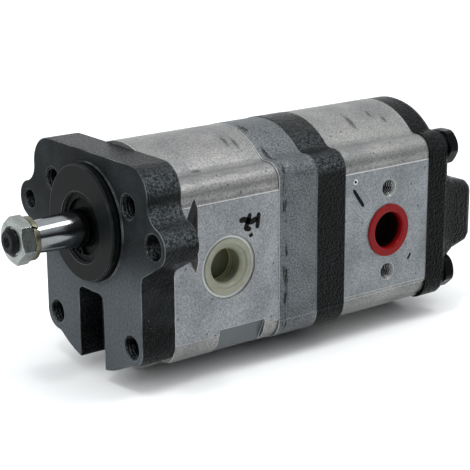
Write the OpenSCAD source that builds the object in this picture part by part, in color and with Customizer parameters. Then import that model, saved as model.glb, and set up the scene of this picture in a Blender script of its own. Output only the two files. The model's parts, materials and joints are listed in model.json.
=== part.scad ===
// Tandem external gear pump: flanged front cover, two gear stages on one
// drive line and a cast rear cover, all held by four long tie bolts.
// X runs along the drive shaft towards the rear, Z is up, the near ports
// face -Y. The origin is on the shaft axis at the mounting face.

/* [Sections along the pump] */
// thickness of the flanged front cover
cover_t = 16.6; // [15:0.1:20]
// length of the front pump body
body1_l = 55.8; // [54:0.1:64]
// length of the coupling housing
coupling_l = 21.7; // [21:0.1:26]
// thickness of the cast intermediate cover
middle_t = 16.2; // [15:0.1:20]
// length of the rear pump body
body2_l = 51.9; // [50:0.1:60]
// thickness of the rear cover's plate
rear_t = 13.5; // [11:0.1:18]
// how far the central boss stands out of the rear cover
rear_boss_h = 22.5; // [18:0.5:24]

/* [Pumping profile] */
// distance between drive shaft and driven gear
gear_cd = 32; // [32:1:32]
// outside radius of the sections around the drive shaft
crown_r = 34.5; // [34.3:0.1:35]
// half width of the machined port faces
face_y = 38.2; // [38:0.1:38.4]
// sideways position of the tie bolts
bolt_y = 30; // [29.8:0.1:30.2]
// height of the upper tie bolts above the shaft
bolt_top_z = 14.7; // [14.4:0.1:15]
// height of the lower tie bolts below the shaft
bolt_low_z = 46.4; // [46:0.1:46.8]
// radius of the corner lobes around the tie bolts
lobe_r = 8.2; // [8:0.1:8.4]

/* [Mounting side] */
// diameter of the locating pilot
pilot_d = 52; // [50:0.5:54]
// height of the pilot above the mounting face
pilot_h = 4.9; // [4.6:0.1:7]
// height of the pilot centre above the shaft axis
pilot_z = 1.9; // [0:0.1:2.4]
// diameter of the seal bore in the pilot
seal_bore_d = 30; // [30:1:30]
// hole in the near ear
ear_near_hole_d = 11; // [9:0.1:11.4]
// hole in the far ear
ear_far_hole_d = 8.4; // [8:0.1:11]
// near ear centre, sideways
ear_near_y = -47.7; // [-49:0.1:-47]
// far ear centre, sideways
ear_far_y = 50.9; // [50:0.1:52]
// height of both ears above the shaft axis
ear_z = 1.4; // [0:0.1:2]
// radius of the ears
ear_r = 8.5; // [8.2:0.1:8.8]

/* [Drive shaft end] */
// length from the mounting face to the small end of the taper
taper_l = 28.8; // [27:0.1:34]
// taper ratio, length for one millimetre of diameter
taper_ratio = 8; // [8:1:10]
// diameter of the small end of the taper
taper_small_d = 13.6; // [13.4:0.1:14]
// thread diameter of the stud
stud_d = 12; // [12:1:12]
// thread pitch of the stud
stud_pitch = 1.5; // [1.5:0.25:1.5]
// length of the stud
stud_l = 11.2; // [10.8:0.1:14]
// width across flats of the shaft nut
nut_af = 18; // [17:1:19]
// thickness of the shaft nut
nut_t = 6.4; // [5:0.1:7]
// thickness of the split washer
washer_t = 2.5; // [2:0.1:2.8]

/* [Gears and shafts] */
// teeth on each gear
teeth = 12; // [12:1:12]
// gear module
gear_module = 2.5; // [2.5:0.1:2.5]
// tip radius of the gears
gear_tip_r = 18.5; // [18.4:0.02:18.52]
// root radius of the gears
gear_root_r = 12.6; // [12.4:0.1:12.7]
// width of the front gears
gear1_w = 24; // [20:0.5:25]
// width of the rear gears
gear2_w = 18.5; // [16:0.5:20]
// journal diameter in the bearing blocks
journal_d = 18; // [17.5:0.1:18]
// diameter of the shafts where the lip seals run
seal_shaft_d = 17; // [17:0.1:17]
// width of the coupling tongues
tongue_w = 8; // [7:0.5:9]
// length of the coupling tongues
tongue_l = 5; // [4:0.5:5]

/* [Ports] */
// height of the front body's ports below the shaft axis
port1_z = 17.7; // [17:0.1:18.5]
// height of the rear body's ports below the shaft axis
port2_z = 17.7; // [17:0.1:18.5]
// spot face around the threaded ports
spot_d = 28.3; // [27:0.1:29]
// thread diameter of the front ports
port1_d = 21; // [21:1:21]
// bore of the flanged rear ports
port2_d = 20; // [19:0.5:21]
// distance between the two screw holes of a rear port
port_bolt_pitch = 40; // [38:0.1:41]
// tapping diameter of the port screw holes
port_bolt_d = 6.8; // [6.6:0.1:7]

/* [Running fits] */
// radial clearance of journals in their bushes
journal_gap = 0.04; // [0.03:0.01:0.06]
// end clearance of gears against the blocks
end_gap = 0.03; // [0.02:0.01:0.05]
// radial clearance of lip seals around a shaft
lip_gap = 0.03; // [0.02:0.01:0.05]

/* [Hidden] */
// facets on large rounds
fn_big = 72;
// facets on middle rounds
fn_mid = 48;
// facets on small rounds
fn_small = 28;
// overshoot that lets cuts break the surface
over = 0.5;
// how far a blend reaches into the rounds that it joins
bite = 0.03;

// section planes
x1 = cover_t;
x2 = x1 + body1_l;
x3 = x2 + coupling_l;
x4 = x3 + middle_t;
x5 = x4 + body2_l;
x6 = x5 + rear_t;

// chamber and bearing block sizes
chamber_r = gear_tip_r + 0.07;
block_r = chamber_r - 0.04;
bush_r = 11;
bush_bore_r = journal_d / 2 + journal_gap;
gear1_x = (x1 + x2 - gear1_w) / 2;
gear2_x = (x4 + x5 - gear2_w) / 2;
block_clear = 0.02;
block_seal_r = 13.4;
block_seal_w = 1.8;
block_seal_edge = 5;

// face seal groove that runs round both bearing bores
groove_in_r = chamber_r + 1.75;
groove_w = 2;
groove_depth = 1.5;

// lower corner lobes of the sections behind the front cover
low_lobe = [28.7, -48.2];
low_lobe_r = 9.6;

// the two bodies: lower lobes, and the strips that carry the port faces
body1_low = [28.6, -47.8];
body1_low_r = 9;
body1_strip = [[30, bolt_top_z], [bolt_y + 7.8, bolt_top_z - 0.5], [face_y, 11.3],
    [face_y, -47.4], [face_y - 5.3, -56.2], [26, -54]];
body2_low = [28.6, -47.2];
body2_low_r = 8.6;
body2_strip = [[30, bolt_top_z], [bolt_y + 7.9, bolt_top_z - 0.5], [face_y, 11.6],
    [face_y, -45.5], [face_y - 4.4, -53.6], [face_y - 6.4, -56.4], [26, -53]];

// bare pad milled across the front body's lower near edge
pad_x = x1 + 23.1;
pad_l = 24.8;
pad_cut = [[-face_y - 2, -45.2], [-face_y + 0.5, -45.2], [-face_y + 6.2, -57.5], [-face_y - 2, -58]];

// dowels, one high on the far-port side and one low opposite it
dowel_d = 5;
dowel_l = 8;
dowel_at = [[-20, 20], [20, -51]];
dowel_depth = 4.1;

// tie bolts
bolt_d = 10;
bolt_hole_d = 10.6;
bolt_end_x = 4.5;
bolt_head_af = 16;
bolt_head_h = 6.4;
bolt_seat_depth = 0.2;
bolt_head_round = 0.55;
bolt_seat_x = x6 - bolt_seat_depth;
bolts_at = [for (s = [-1, 1], z = [bolt_top_z, -bolt_low_z]) [s * bolt_y, z]];

// outline of the front cover
cover_flat_z = 32.4;
cover_low_r = 48;
cover_low_z = -15.5;
corner_near_r = 12;
corner_far_r = 13;
corner_near = [-32.1, cover_flat_z - corner_near_r];
corner_far = [32.8, cover_flat_z - corner_far_r];
ear_slope = 30.6;
slot_near_y = -8.9;
slot_far_y = 11.1;
slot_top_z = -29;
slot_depth = 12;
slot_corner_r = 3.6;
relief_r = 21.5;
relief_wall_r = 18.2;
relief_mouth_r = 13.7;
relief_start = 5.1;
relief_peak = 10.7;
relief_l = 12.4;
relief_drop = 2.3;
relief_out = 13.8;
low_arc_z = -30;
// reach of cuts that run out past the part
reach = 120;

// pilot details
oring_wire = 2;
groove_back = 0.7;
groove_front = 3.1;
oring_fit = 0.01;
groove_floor_d = pilot_d - 2 * (oring_wire + 3 * oring_fit);
pilot_chamfer = 0.6;

// seal bore details
seal_t = 7;
ring_x = -3.4;
ring_t = 1.2;
ring_groove_d = 31.4;
ring_w = 2.7;
ring_lug_y = 12;
ring_lug_r = 2.2;
ring_lug_hole_y = 11.8;
ring_lug_hole_d = 2;
ring_gap_in = [8, 1.6];
ring_gap_out = [18, 2.6];
seal_x = ring_x + ring_t + 0.1;
seal_floor_x = seal_x + seal_t;
shaft_hole_d = 19.4;

// stations of the drive shaft
taper_x = -taper_l;
stud_x = taper_x - stud_l;
washer_x = taper_x - washer_t;
nut_x = washer_x - nut_t;
gauge_d = seal_shaft_d + 0.2;
gauge_x = taper_x + taper_ratio * (gauge_d - taper_small_d);
seal_land_x = gauge_x + 0.6;
web1_t = 7;
tongue1_x = x2 + web1_t + 2;
cavity_d = 31;
coupling_d = 28;
coupling_x = tongue1_x + 0.3;
coupling_t = x3 - coupling_x - 0.8;
tongue2_x = coupling_x + coupling_t + 0.3;
middle_seal_x = x3 + 1.2;
middle_pocket_l = seal_t + 1.3;
journal2_x = x4 + 0.5;
shaft2_end_x = x5 - 1.5;
shaft1_end_x = tongue1_x;

// Woodruff key
key_w = 3;
key_h = 5;
key_disc_d = 13;
key_x = -16;
key_stand = 1.2;
key_shaft_r = taper_small_d / 2 + (key_x - taper_x) / (2 * taper_ratio);

// port hardware
port1_x = x1 + 28.5;
port2_x = x4 + 26.8;
spot_depth = 0.9;
port1_thread_l = 15;
port_way_d = 15;
plug_flange_d = 25.4;
plug_flange_t = 0.7;
plug_ring_d = 20.2;
plug_step = 0.9;
plug_ledge = 1.1;
plug_slope = 1.9;
plug_rib_start = 1.5;
plug_hollow_d = 16.4;
plug_rib = 0.6;
plug_pitch = 1.8;
plug_turns = 6;
plug_body_l = 12;
plug_floor_t = 1.6;
cap_flange_d = 24.9;
cap_flange_t = 0.9;
cap_hollow_d = 17.2;
cap_lip = 0.7;
cap_body_l = 11;
cap_floor_t = 1.2;
port2_l = 14;
port_bolt_depth = 14;
port_bolt_mouth_d = 8.5;

// helpers that place work along the shaft

// flat shape in Y and Z, pushed towards the rear from station x
module slab(x, l) {
    translate([x, 0, 0])
        rotate([90, 0, 90])
            linear_extrude(height = l)
                children();
}

// round bar along the shaft direction
module rod(x, l, d, y = 0, z = 0, fn = fn_mid) {
    translate([x, y, z])
        rotate([0, 90, 0])
            cylinder(h = l, d = d, $fn = fn);
}

// cone along the shaft direction
module cone(x, l, d_front, d_rear, y = 0, z = 0, fn = fn_mid) {
    translate([x, y, z])
        rotate([0, 90, 0])
            cylinder(h = l, d1 = d_front, d2 = d_rear, $fn = fn);
}

// profile of radius against station, turned about the shaft direction
module turned(profile, y = 0, z = 0, fn = fn_mid) {
    translate([0, y, z])
        rotate([0, 90, 0])
            rotate_extrude($fn = fn)
                polygon(profile);
}

// helpers that draw outlines made of true arcs

// where a round of radius rf touches two circles from outside
function blend_centre(c1, r1, c2, r2, rf, side) =
    let (v = c2 - c1, d = norm(v), a = r1 + rf - bite, b = r2 + rf - bite)
    let (t = (d * d + a * a - b * b) / (2 * d), h = sqrt(a * a - t * t))
    c1 + v * t / d + side * h * [-v.y, v.x] / d;

// concave blend that fills the notch between two circles
module blend(c1, r1, c2, r2, rf, side) {
    cf = blend_centre(c1, r1, c2, r2, rf, side);
    difference() {
        polygon([c1, cf, c2]);
        translate(cf)
            circle(r = rf, $fn = fn_mid);
    }
}

// concave blend between a line x = wall and a line through p at angle a
module wall_blend(wall, p, a, r, s) {
    touch = [wall, p.y - tan(a) * abs(p.x - wall)];
    run = (r - bite) * tan((90 - a) / 2);
    c = [wall + s * (r - bite), touch.y - run];
    difference() {
        polygon([touch + [-s, 1], touch + run * [s * cos(a), sin(a)] + [-s * sin(a), cos(a)], c,
            touch + [-s, -run]]);
        translate(c)
            circle(r = r, $fn = fn_mid);
    }
}

// section block: two crowns, corner lobes near the bolts, straight sides
module twin_block(x, l, top_r, low_r, corner, low_at = low_lobe, low_corner = low_lobe_r) {
    side_y = bolt_y + corner - bite;
    // both crowns, milled off where they would stand out of the flanks
    intersection() {
        union() {
            rod(x, l, 2 * top_r, 0, 0, fn_big);
            rod(x, l, 2 * low_r, 0, -gear_cd, fn_big);
        }
        translate([x - over, -side_y, -reach])
            cube([l + 2 * over, 2 * side_y, 2 * reach]);
    }
    slab(x, l)
        polygon([[-side_y, bolt_top_z], [side_y, bolt_top_z], [side_y, low_at.y], [-side_y, low_at.y]]);
    for (s = [-1, 1]) {
        high = [s * bolt_y, bolt_top_z];
        low = [s * low_at.x, low_at.y];
        rod(x, l, 2 * corner, high.x, high.y);
        rod(x, l, 2 * low_corner, low.x, low.y);
        slab(x, l)
            blend([0, 0], top_r, high, corner, 6, s);
        slab(x, l)
            blend([0, -gear_cd], low_r, low, low_corner, 6, -s);
    }
}

// same outline with its rear edge rounded off by chamfers of size e
module twin_block_eased(x, l, top_r, low_r, corner, e) {
    side_y = bolt_y + corner - bite;
    for (a = [[0, 0, top_r], [0, -gear_cd, low_r], [-bolt_y, bolt_top_z, corner], [bolt_y, bolt_top_z, corner],
            [-low_lobe.x, low_lobe.y, low_lobe_r], [low_lobe.x, low_lobe.y, low_lobe_r]])
        turned([[0, x], [a[2], x], [a[2], x + l - e], [a[2] - 0.3 * e, x + l - 0.3 * e],
            [a[2] - e, x + l], [0, x + l]], a[0], a[1], fn_big);
    translate([0, 0, low_lobe.y])
        linear_extrude(height = bolt_top_z - low_lobe.y)
            polygon([[x, -side_y], [x + l - e, -side_y], [x + l - 0.3 * e, -side_y + 0.3 * e], [x + l, -side_y + e],
                [x + l, side_y - e], [x + l - 0.3 * e, side_y - 0.3 * e], [x + l - e, side_y], [x, side_y]]);
    for (s = [-1, 1]) {
        high = [s * bolt_y, bolt_top_z];
        low = [s * low_lobe.x, low_lobe.y];
        slab(x, l - e)
            blend([0, 0], top_r, high, corner, 6, s);
        slab(x, l - e)
            blend([0, -gear_cd], low_r, low, low_lobe_r, 6, -s);
    }
}

// outline of the gear chamber or of the parts that fill it
module figure_eight(r) {
    for (z = [0, -gear_cd])
        translate([0, z])
            circle(r = r, $fn = fn_big);
}

// ring that runs round both bearing bores
module eight_ring(r_in, w) {
    difference() {
        figure_eight(r_in + w);
        figure_eight(r_in);
    }
}

// holes for the four tie bolts
module tie_holes(x, l, d = bolt_hole_d) {
    for (p = bolts_at)
        rod(x, l, d, p.x, p.y, fn_small);
}

// dowel holes sunk into one or both faces of a section
module dowel_holes(x, l) {
    for (p = dowel_at)
        rod(x, l, dowel_d + 0.02, p.x, p.y, fn_small);
}

// groove for a face seal, sunk from station x towards the rear
module seal_groove(x) {
    slab(x, groove_depth)
        eight_ring(groove_in_r, groove_w);
}

// round cut into a side face
module side_bore(x, z, d, depth, s, fn = fn_mid) {
    translate([x, s * (face_y + 5), z])
        rotate([s * 90, 0, 0])
            cylinder(h = depth + 5, d = d, $fn = fn);
}

// cone shaped mouth of a hole in a side face
module side_mouth(x, z, d_hole, d_mouth, s) {
    depth = (d_mouth - d_hole) / 2;
    translate([x, s * (face_y + 0.01), z])
        rotate([s * 90, 0, 0])
            cylinder(h = depth, d1 = d_mouth, d2 = d_hole, $fn = fn_small);
}

// gear tooth geometry

// a point at radius r and angle a
function polar(r, a) = [r * cos(a), r * sin(a)];
// involute function in degrees for a pressure angle
function inv_deg(a) = tan(a) * 180 / PI - a;

base_r = gear_module * teeth / 2 * cos(20);
work_r = gear_cd / 2;
work_angle = acos(base_r / work_r);
backlash = 0.12;
half_tooth = 90 / teeth - backlash / (2 * work_r) * 180 / PI;
half_base = half_tooth + inv_deg(work_angle);
flank_steps = 6;
// one flank from root to tip as radius and half angle
flank = concat(
    [[gear_root_r, half_base + 1.7], [gear_root_r + 0.45, half_base + 0.25], [base_r + 0.02, half_base]],
    [for (i = [1:flank_steps])
        let (r = base_r + (gear_tip_r - base_r) * i / flank_steps)
        [r, half_base - inv_deg(acos(base_r / r))]]);
flank_last = len(flank) - 1;

// full gear outline, first tooth at the given angle
module gear_outline(phase) {
    points = [for (k = [0:teeth - 1])
        let (mid = phase + k * 360 / teeth)
        each concat(
            [for (f = flank) polar(f[0], mid - f[1])],
            [for (i = [0:flank_last]) polar(flank[flank_last - i][0], mid + flank[flank_last - i][1])])];
    polygon(points);
}

// gear between its two journals, with an end chamfer on each journal
module geared_shaft(x, w, front_x, rear_x, phase, z = 0) {
    translate([0, 0, z])
        slab(x, w)
            gear_outline(phase);
    r = journal_d / 2;
    turned([[0, front_x], [r - 0.6, front_x], [r, front_x + 0.6], [r, x + 0.1], [0, x + 0.1]], 0, z);
    turned([[0, x + w - 0.1], [r, x + w - 0.1], [r, rear_x - 0.6], [r - 0.6, rear_x], [0, rear_x]], 0, z);
}

// lip seal in section: sleeve against the bore, web and lip towards the shaft
module lip_seal(x, bore_d, shaft_d) {
    out_r = bore_d / 2 - 0.01;
    in_r = shaft_d / 2 + lip_gap;
    turned([
        [out_r - 0.4, x], [out_r, x + 0.4], [out_r, x + seal_t], [out_r - 1.2, x + seal_t],
        [out_r - 1.2, x + 1.6], [in_r + 1.9, x + 1.6], [in_r + 1.6, x + 3.4], [in_r + 1.8, x + 5.6],
        [in_r + 0.9, x + 5.6], [in_r, x + 4.6], [in_r, x + 4.1], [in_r + 0.7, x + 2.6],
        [in_r + 0.7, x + 1.2], [in_r + 0.1, x + 0.3], [in_r + 0.1, x]]);
}

// front cover

// ear with its slanted lower web and the blend into the corner above it
module ear_plate(centre, corner, corner_r, s) {
    low = centre + (ear_r - bite) * [s * sin(ear_slope), -cos(ear_slope)];
    inner = s * (face_y - 6);
    foot = [inner, low.y - abs(low.x - inner) * tan(ear_slope)];
    rod(0, cover_t, 2 * ear_r, centre.x, centre.y);
    slab(0, cover_t)
        polygon([centre, low, foot, corner]);
    slab(0, cover_t)
        blend(corner, corner_r, centre, ear_r, 9, s);
    slab(0, cover_t)
        wall_blend(s * (face_y - bite), low, ear_slope, 5, s);
}

module cover_plate() {
    low_c = [0, cover_low_z];
    side = face_y - bite;
    slab(0, cover_t)
        polygon([[corner_near.x, cover_flat_z - 2], [corner_near.x + 1, cover_flat_z],
            [corner_far.x - 1, cover_flat_z], [corner_far.x, cover_flat_z - 2],
            [side, 0], [side, -bolt_low_z], [-side, -bolt_low_z], [-side, 0]]);
    // lower edge between the corner lobes, a flat arc
    intersection() {
        rod(0, cover_t, 2 * cover_low_r, 0, cover_low_z, fn_big);
        translate([-over, -bolt_y, -reach])
            cube([cover_t + 2 * over, 2 * bolt_y, reach + low_arc_z]);
    }
    for (s = [-1, 1]) {
        lobe = [s * (face_y - lobe_r), -bolt_low_z];
        rod(0, cover_t, 2 * lobe_r, lobe.x, lobe.y);
        slab(0, cover_t)
            blend(low_c, cover_low_r, lobe, lobe_r, 7, -s);
    }
    // upper corners, each cut off level with the flat top
    difference() {
        union() {
            rod(0, cover_t, 2 * corner_near_r, corner_near.x, corner_near.y + bite);
            rod(0, cover_t, 2 * corner_far_r, corner_far.x, corner_far.y + bite);
        }
        translate([-over, -reach / 2, cover_flat_z])
            cube([cover_t + 2 * over, reach, reach]);
    }
    ear_plate([ear_near_y, ear_z], corner_near, corner_near_r, -1);
    ear_plate([ear_far_y, ear_z], corner_far, corner_far_r, 1);
}

// slot open at the bottom with two rounded upper corners
module slot_outline() {
    top = slot_top_z;
    r = slot_corner_r;
    polygon([[slot_near_y, -reach], [slot_far_y, -reach], [slot_far_y, top - r], [slot_far_y - r, top],
        [slot_near_y + r, top], [slot_near_y, top - r]]);
    for (y = [slot_near_y + r, slot_far_y - r])
        translate([y, top - r])
            circle(r = r, $fn = fn_small);
}

module front_cover() {
    color([0.13, 0.14, 0.15])
    difference() {
        union() {
            cover_plate();
            // pilot with the groove for its ring and a chamfered front edge
            turned([
                [0, -pilot_h], [pilot_d / 2 - pilot_chamfer - 0.4, -pilot_h],
                [pilot_d / 2 - 0.4, -pilot_h + pilot_chamfer], [pilot_d / 2 - 0.4, -groove_front],
                [groove_floor_d / 2, -groove_front], [groove_floor_d / 2, -groove_back],
                [pilot_d / 2, -groove_back], [pilot_d / 2, over], [0, over]],
                0, pilot_z, fn_big);
        }
        // seal bore, its ring groove and the shaft hole behind it
        rod(-pilot_h - over, seal_floor_x + pilot_h + over, seal_bore_d, fn = fn_big);
        cone(-pilot_h - 0.01, 0.8, seal_bore_d + 1.6, seal_bore_d, fn = fn_big);
        rod(ring_x, ring_t + 0.1, ring_groove_d, fn = fn_big);
        rod(seal_floor_x - over, cover_t, shaft_hole_d);
        // slot between the legs
        slab(-over, slot_depth + over)
            slot_outline();
        // ear holes with broken edges
        rod(-over, cover_t + 2 * over, ear_near_hole_d, ear_near_y, ear_z);
        cone(-0.01, 0.5, ear_near_hole_d + 1, ear_near_hole_d, ear_near_y, ear_z);
        rod(-over, cover_t + 2 * over, ear_far_hole_d, ear_far_y, ear_z);
        cone(-0.01, 0.5, ear_far_hole_d + 1, ear_far_hole_d, ear_far_y, ear_z);
        // tapped through holes for the tie bolts with countersunk mouths
        tie_holes(-over, cover_t + 2 * over, bolt_d + 0.02);
        for (p = bolts_at)
            cone(-0.01, 0.6, bolt_d + 1.2, bolt_d, p.x, p.y, fn_small);
        dowel_holes(x1 - dowel_depth, dowel_depth + over);
    }
}

module pilot_o_ring() {
    ring_r = groove_floor_d / 2 + oring_wire / 2 + oring_fit;
    color([0.03, 0.03, 0.03])
    translate([-(groove_back + groove_front) / 2, 0, pilot_z])
        rotate([0, 90, 0])
            rotate_extrude($fn = fn_mid)
                translate([ring_r, 0])
                    circle(d = oring_wire, $fn = 16);
}

module shaft_seal() {
    color([0.05, 0.05, 0.05])
    lip_seal(seal_x, seal_bore_d, seal_shaft_d);
}

// open ring with two pierced lugs at the gap
module seal_retaining_ring() {
    color([0.3, 0.3, 0.32])
    slab(ring_x + 0.05, ring_t)
        rotate(-60)
            difference() {
                union() {
                    difference() {
                        circle(d = ring_groove_d - 0.1, $fn = fn_big);
                        translate([-0.5, 0])
                            circle(d = seal_bore_d - 2 * ring_w, $fn = fn_big);
                    }
                    for (s = [-1, 1])
                        rotate(s * 15)
                            translate([ring_lug_y, 0])
                                circle(r = ring_lug_r, $fn = fn_small);
                }
                polygon([[ring_gap_in.x, -ring_gap_in.y], [ring_gap_out.x, -ring_gap_out.y],
                    ring_gap_out, ring_gap_in]);
                for (s = [-1, 1])
                    rotate(s * 15)
                        translate([ring_lug_hole_y, 0])
                            circle(d = ring_lug_hole_d, $fn = 20);
            }
}

// drive line

// stacked vee grooves that stand for the thread, from station x
module thread_rings(x, turns, d, pitch) {
    root_r = d / 2 - 0.61 * pitch;
    points = [for (i = [0:turns - 1]) each [
        [root_r, x + i * pitch + 0.1 * pitch], [d / 2, x + (i + 0.45) * pitch],
        [d / 2, x + (i + 0.6) * pitch], [root_r, x + (i + 0.95) * pitch]]];
    turned(concat([[0, x]], [[root_r, x]], points, [[root_r, x + turns * pitch]], [[0, x + turns * pitch]]));
}

module drive_shaft() {
    r = seal_shaft_d / 2;
    turns = floor((stud_l - 1.8) / stud_pitch);
    thread_x = stud_x + 0.9;
    neck_x = thread_x + turns * stud_pitch;
    core_r = stud_d / 2 - 0.61 * stud_pitch;
    color([0.75, 0.76, 0.78])
    difference() {
        union() {
            // chamfered stud nose
            turned([[0, stud_x], [core_r - 0.6, stud_x], [core_r + 0.1, stud_x + 0.7],
                [core_r, thread_x + 0.05], [0, thread_x + 0.05]]);
            thread_rings(thread_x, turns, stud_d, stud_pitch);
            // thread run-out, taper, seal land and journal up to the gear
            turned([[0, neck_x - 0.1], [core_r, neck_x - 0.1], [core_r, taper_x],
                [taper_small_d / 2 - 0.3, taper_x], [taper_small_d / 2, taper_x + 0.3],
                [gauge_d / 2, gauge_x - 0.02], [r, seal_land_x], [r, x1 - 0.3],
                [journal_d / 2, x1 + 0.2], [0, x1 + 0.2]]);
            geared_shaft(gear1_x, gear1_w, x1, x2 + 0.2, -90);
            // tail through the coupling housing with its tongue
            turned([[0, x2], [r, x2], [r, shaft1_end_x - 0.5], [r - 0.5, shaft1_end_x], [0, shaft1_end_x]]);
            intersection() {
                rod(shaft1_end_x - 0.1, tongue_l + 0.1, seal_shaft_d);
                translate([shaft1_end_x - 1, -seal_shaft_d / 2, -tongue_w / 2])
                    cube([tongue_l + 1, seal_shaft_d, tongue_w]);
            }
        }
        // keyway for the Woodruff key on the far side
        translate([key_x, key_shaft_r + key_stand - key_h + key_disc_d / 2, -key_w / 2 - 0.01])
            cylinder(h = key_w + 0.02, d = key_disc_d + 0.04, $fn = fn_mid);
        // centre hole in the stud
        cone(stud_x - 0.01, 1.6, 5, 2, fn = fn_small);
        rod(stud_x, 3.4, 2, fn = fn_small);
    }
}

module woodruff_key() {
    low = key_shaft_r + key_stand - key_h;
    color([0.6, 0.58, 0.5])
    intersection() {
        translate([key_x, low + key_disc_d / 2, -key_w / 2])
            cylinder(h = key_w, d = key_disc_d, $fn = fn_mid);
        translate([key_x - key_disc_d, low - 1, -key_w])
            cube([2 * key_disc_d, key_h + 1, 2 * key_w]);
    }
}

// spring washer cut once, the cut slanted across the ring
module lock_washer() {
    out_r = 9.35;
    in_r = stud_d / 2 + 0.15;
    color([0.7, 0.66, 0.5])
    difference() {
        turned([
            [in_r, washer_x], [out_r - 0.3, washer_x], [out_r, washer_x + 0.3],
            [out_r, washer_x + washer_t - 0.3], [out_r - 0.3, washer_x + washer_t],
            [in_r, washer_x + washer_t]]);
        rotate([-40, 0, 0])
            translate([washer_x + washer_t / 2, -out_r - 1, 0])
                rotate([0, 28, 0])
                    translate([-washer_t * 1.5, 0, -0.5])
                        cube([washer_t * 3, out_r - 2, 1]);
    }
}

// hexagon nut with both faces chamfered
module shaft_nut() {
    corner = nut_af / cos(30) / 2;
    rim = nut_af / 2;
    fall = 0.9;
    color([0.72, 0.74, 0.74])
    difference() {
        intersection() {
            translate([nut_x, 0, 0])
                rotate([-13, 0, 0])
                    rotate([0, 90, 0])
                        cylinder(h = nut_t, r = corner, $fn = 6);
            turned([[0, nut_x], [rim - 0.2, nut_x], [corner + 0.1, nut_x + fall],
                [corner + 0.1, nut_x + nut_t - fall], [rim - 0.2, nut_x + nut_t], [0, nut_x + nut_t]]);
        }
        rod(nut_x - over, nut_t + 2 * over, stud_d + 0.02);
        cone(nut_x - 0.01, 0.7, stud_d + 1.4, stud_d, fn = fn_mid);
        cone(nut_x + nut_t - 0.69, 0.7, stud_d, stud_d + 1.4, fn = fn_mid);
    }
}

// front pump stage

// relief milled behind an ear so that a wrench swings on its screw: an angled cutter leaves
// a V-shaped groove with a steep front flank and a flat rear wall
module ear_relief(s) {
    turned([[0, x1 + relief_start], [relief_mouth_r, x1 + relief_start], [relief_r, x1 + relief_peak],
        [relief_r, x1 + relief_peak + 0.5], [relief_wall_r, x1 + relief_l], [0, x1 + relief_l]],
        s * (face_y + relief_out), ear_z - relief_drop, fn_big);
}

// threaded port: spot face, threaded length, way into the chamber
module threaded_port(s) {
    side_bore(port1_x, -port1_z, spot_d, spot_depth, s);
    side_bore(port1_x, -port1_z, port1_d, port1_thread_l, s);
    side_bore(port1_x, -port1_z, port_way_d, face_y - 6, s);
}

module front_body() {
    color([0.68, 0.68, 0.67])
    difference() {
        union() {
            twin_block(x1, body1_l, crown_r - 0.15, crown_r + 0.6, lobe_r - 0.3, body1_low, body1_low_r);
            // raised port strips on both sides, milled to the face plane
            slab(x1, body1_l)
                for (s = [-1, 1])
                    polygon([for (q = body1_strip) [s * q.x, q.y]]);
        }
        slab(x1 - over, body1_l + 2 * over)
            figure_eight(chamber_r);
        tie_holes(x1 - over, body1_l + 2 * over);
        seal_groove(x1 - 0.001);
        seal_groove(x2 - groove_depth + 0.001);
        dowel_holes(x1 - over, dowel_depth + over);
        dowel_holes(x2 - dowel_depth, dowel_depth + over);
        for (s = [-1, 1]) {
            ear_relief(s);
            threaded_port(s);
        }
        slab(pad_x, pad_l)
            polygon(pad_cut);
    }
}

module front_driven_gear() {
    color([0.6, 0.6, 0.62])
    geared_shaft(gear1_x, gear1_w, x1 + 0.6, x2 - 0.6, 90 + 180 / teeth, -gear_cd);
}

// one bearing block with bores for its bushes and a groove for its seal
module bearing_block(x, l, seal_face) {
    difference() {
        slab(x, l)
            figure_eight(block_r);
        for (z = [0, -gear_cd])
            rod(x - over, l + 2 * over, 2 * bush_r, 0, z);
        slab(seal_face < 0 ? x - 0.001 : x + l - 1.6 + 0.001, 1.6)
            block_seal_outline(0);
    }
}

// seal that bounds the pressure side of a block
module block_seal_outline(gap) {
    mid_z = -gear_cd / 2;
    bar = block_seal_w / 2 - gap;
    edge = block_seal_edge - gap;
    intersection() {
        eight_ring(block_seal_r + gap, block_seal_w - 2 * gap);
        polygon([[-reach, reach], [edge, reach], [edge, -reach], [-reach, -reach]]);
    }
    polygon([[-block_seal_edge, mid_z - bar], [edge, mid_z - bar], [edge, mid_z + bar],
        [-block_seal_edge, mid_z + bar]]);
}

// the two blocks of a stage, seal grooves away from the gears
module block_pair(xa, xb, gear_x, gear_w) {
    la = gear_x - end_gap - xa - block_clear;
    lb = xb - block_clear - gear_x - gear_w - end_gap;
    bearing_block(xa + block_clear, la, -1);
    bearing_block(xb - block_clear - lb, lb, 1);
}

module bush_set(xa, xb, gear_x, gear_w) {
    la = gear_x - end_gap - xa - block_clear;
    lb = xb - block_clear - gear_x - gear_w - end_gap;
    for (z = [0, -gear_cd]) {
        bush(xa + block_clear + 0.5, la - 0.8, z);
        bush(xb - block_clear - lb + 0.3, lb - 0.8, z);
    }
}

module bush(x, l, z) {
    difference() {
        rod(x, l, 2 * bush_r - 0.01, 0, z);
        rod(x - over, l + 2 * over, 2 * bush_bore_r, 0, z);
    }
}

module block_seal_pair(xa, xb) {
    slab(xa + block_clear, 1.58)
        block_seal_outline(0.02);
    slab(xb - block_clear - 1.58, 1.58)
        block_seal_outline(0.02);
}

module front_bearing_blocks() {
    color([0.8, 0.8, 0.8])
    block_pair(x1, x2, gear1_x, gear1_w);
}

module front_bushes() {
    color([0.72, 0.6, 0.4])
    bush_set(x1, x2, gear1_x, gear1_w);
}

module front_block_seals() {
    color([0.1, 0.1, 0.1])
    block_seal_pair(x1, x2);
}

// coupling and middle sections

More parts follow.
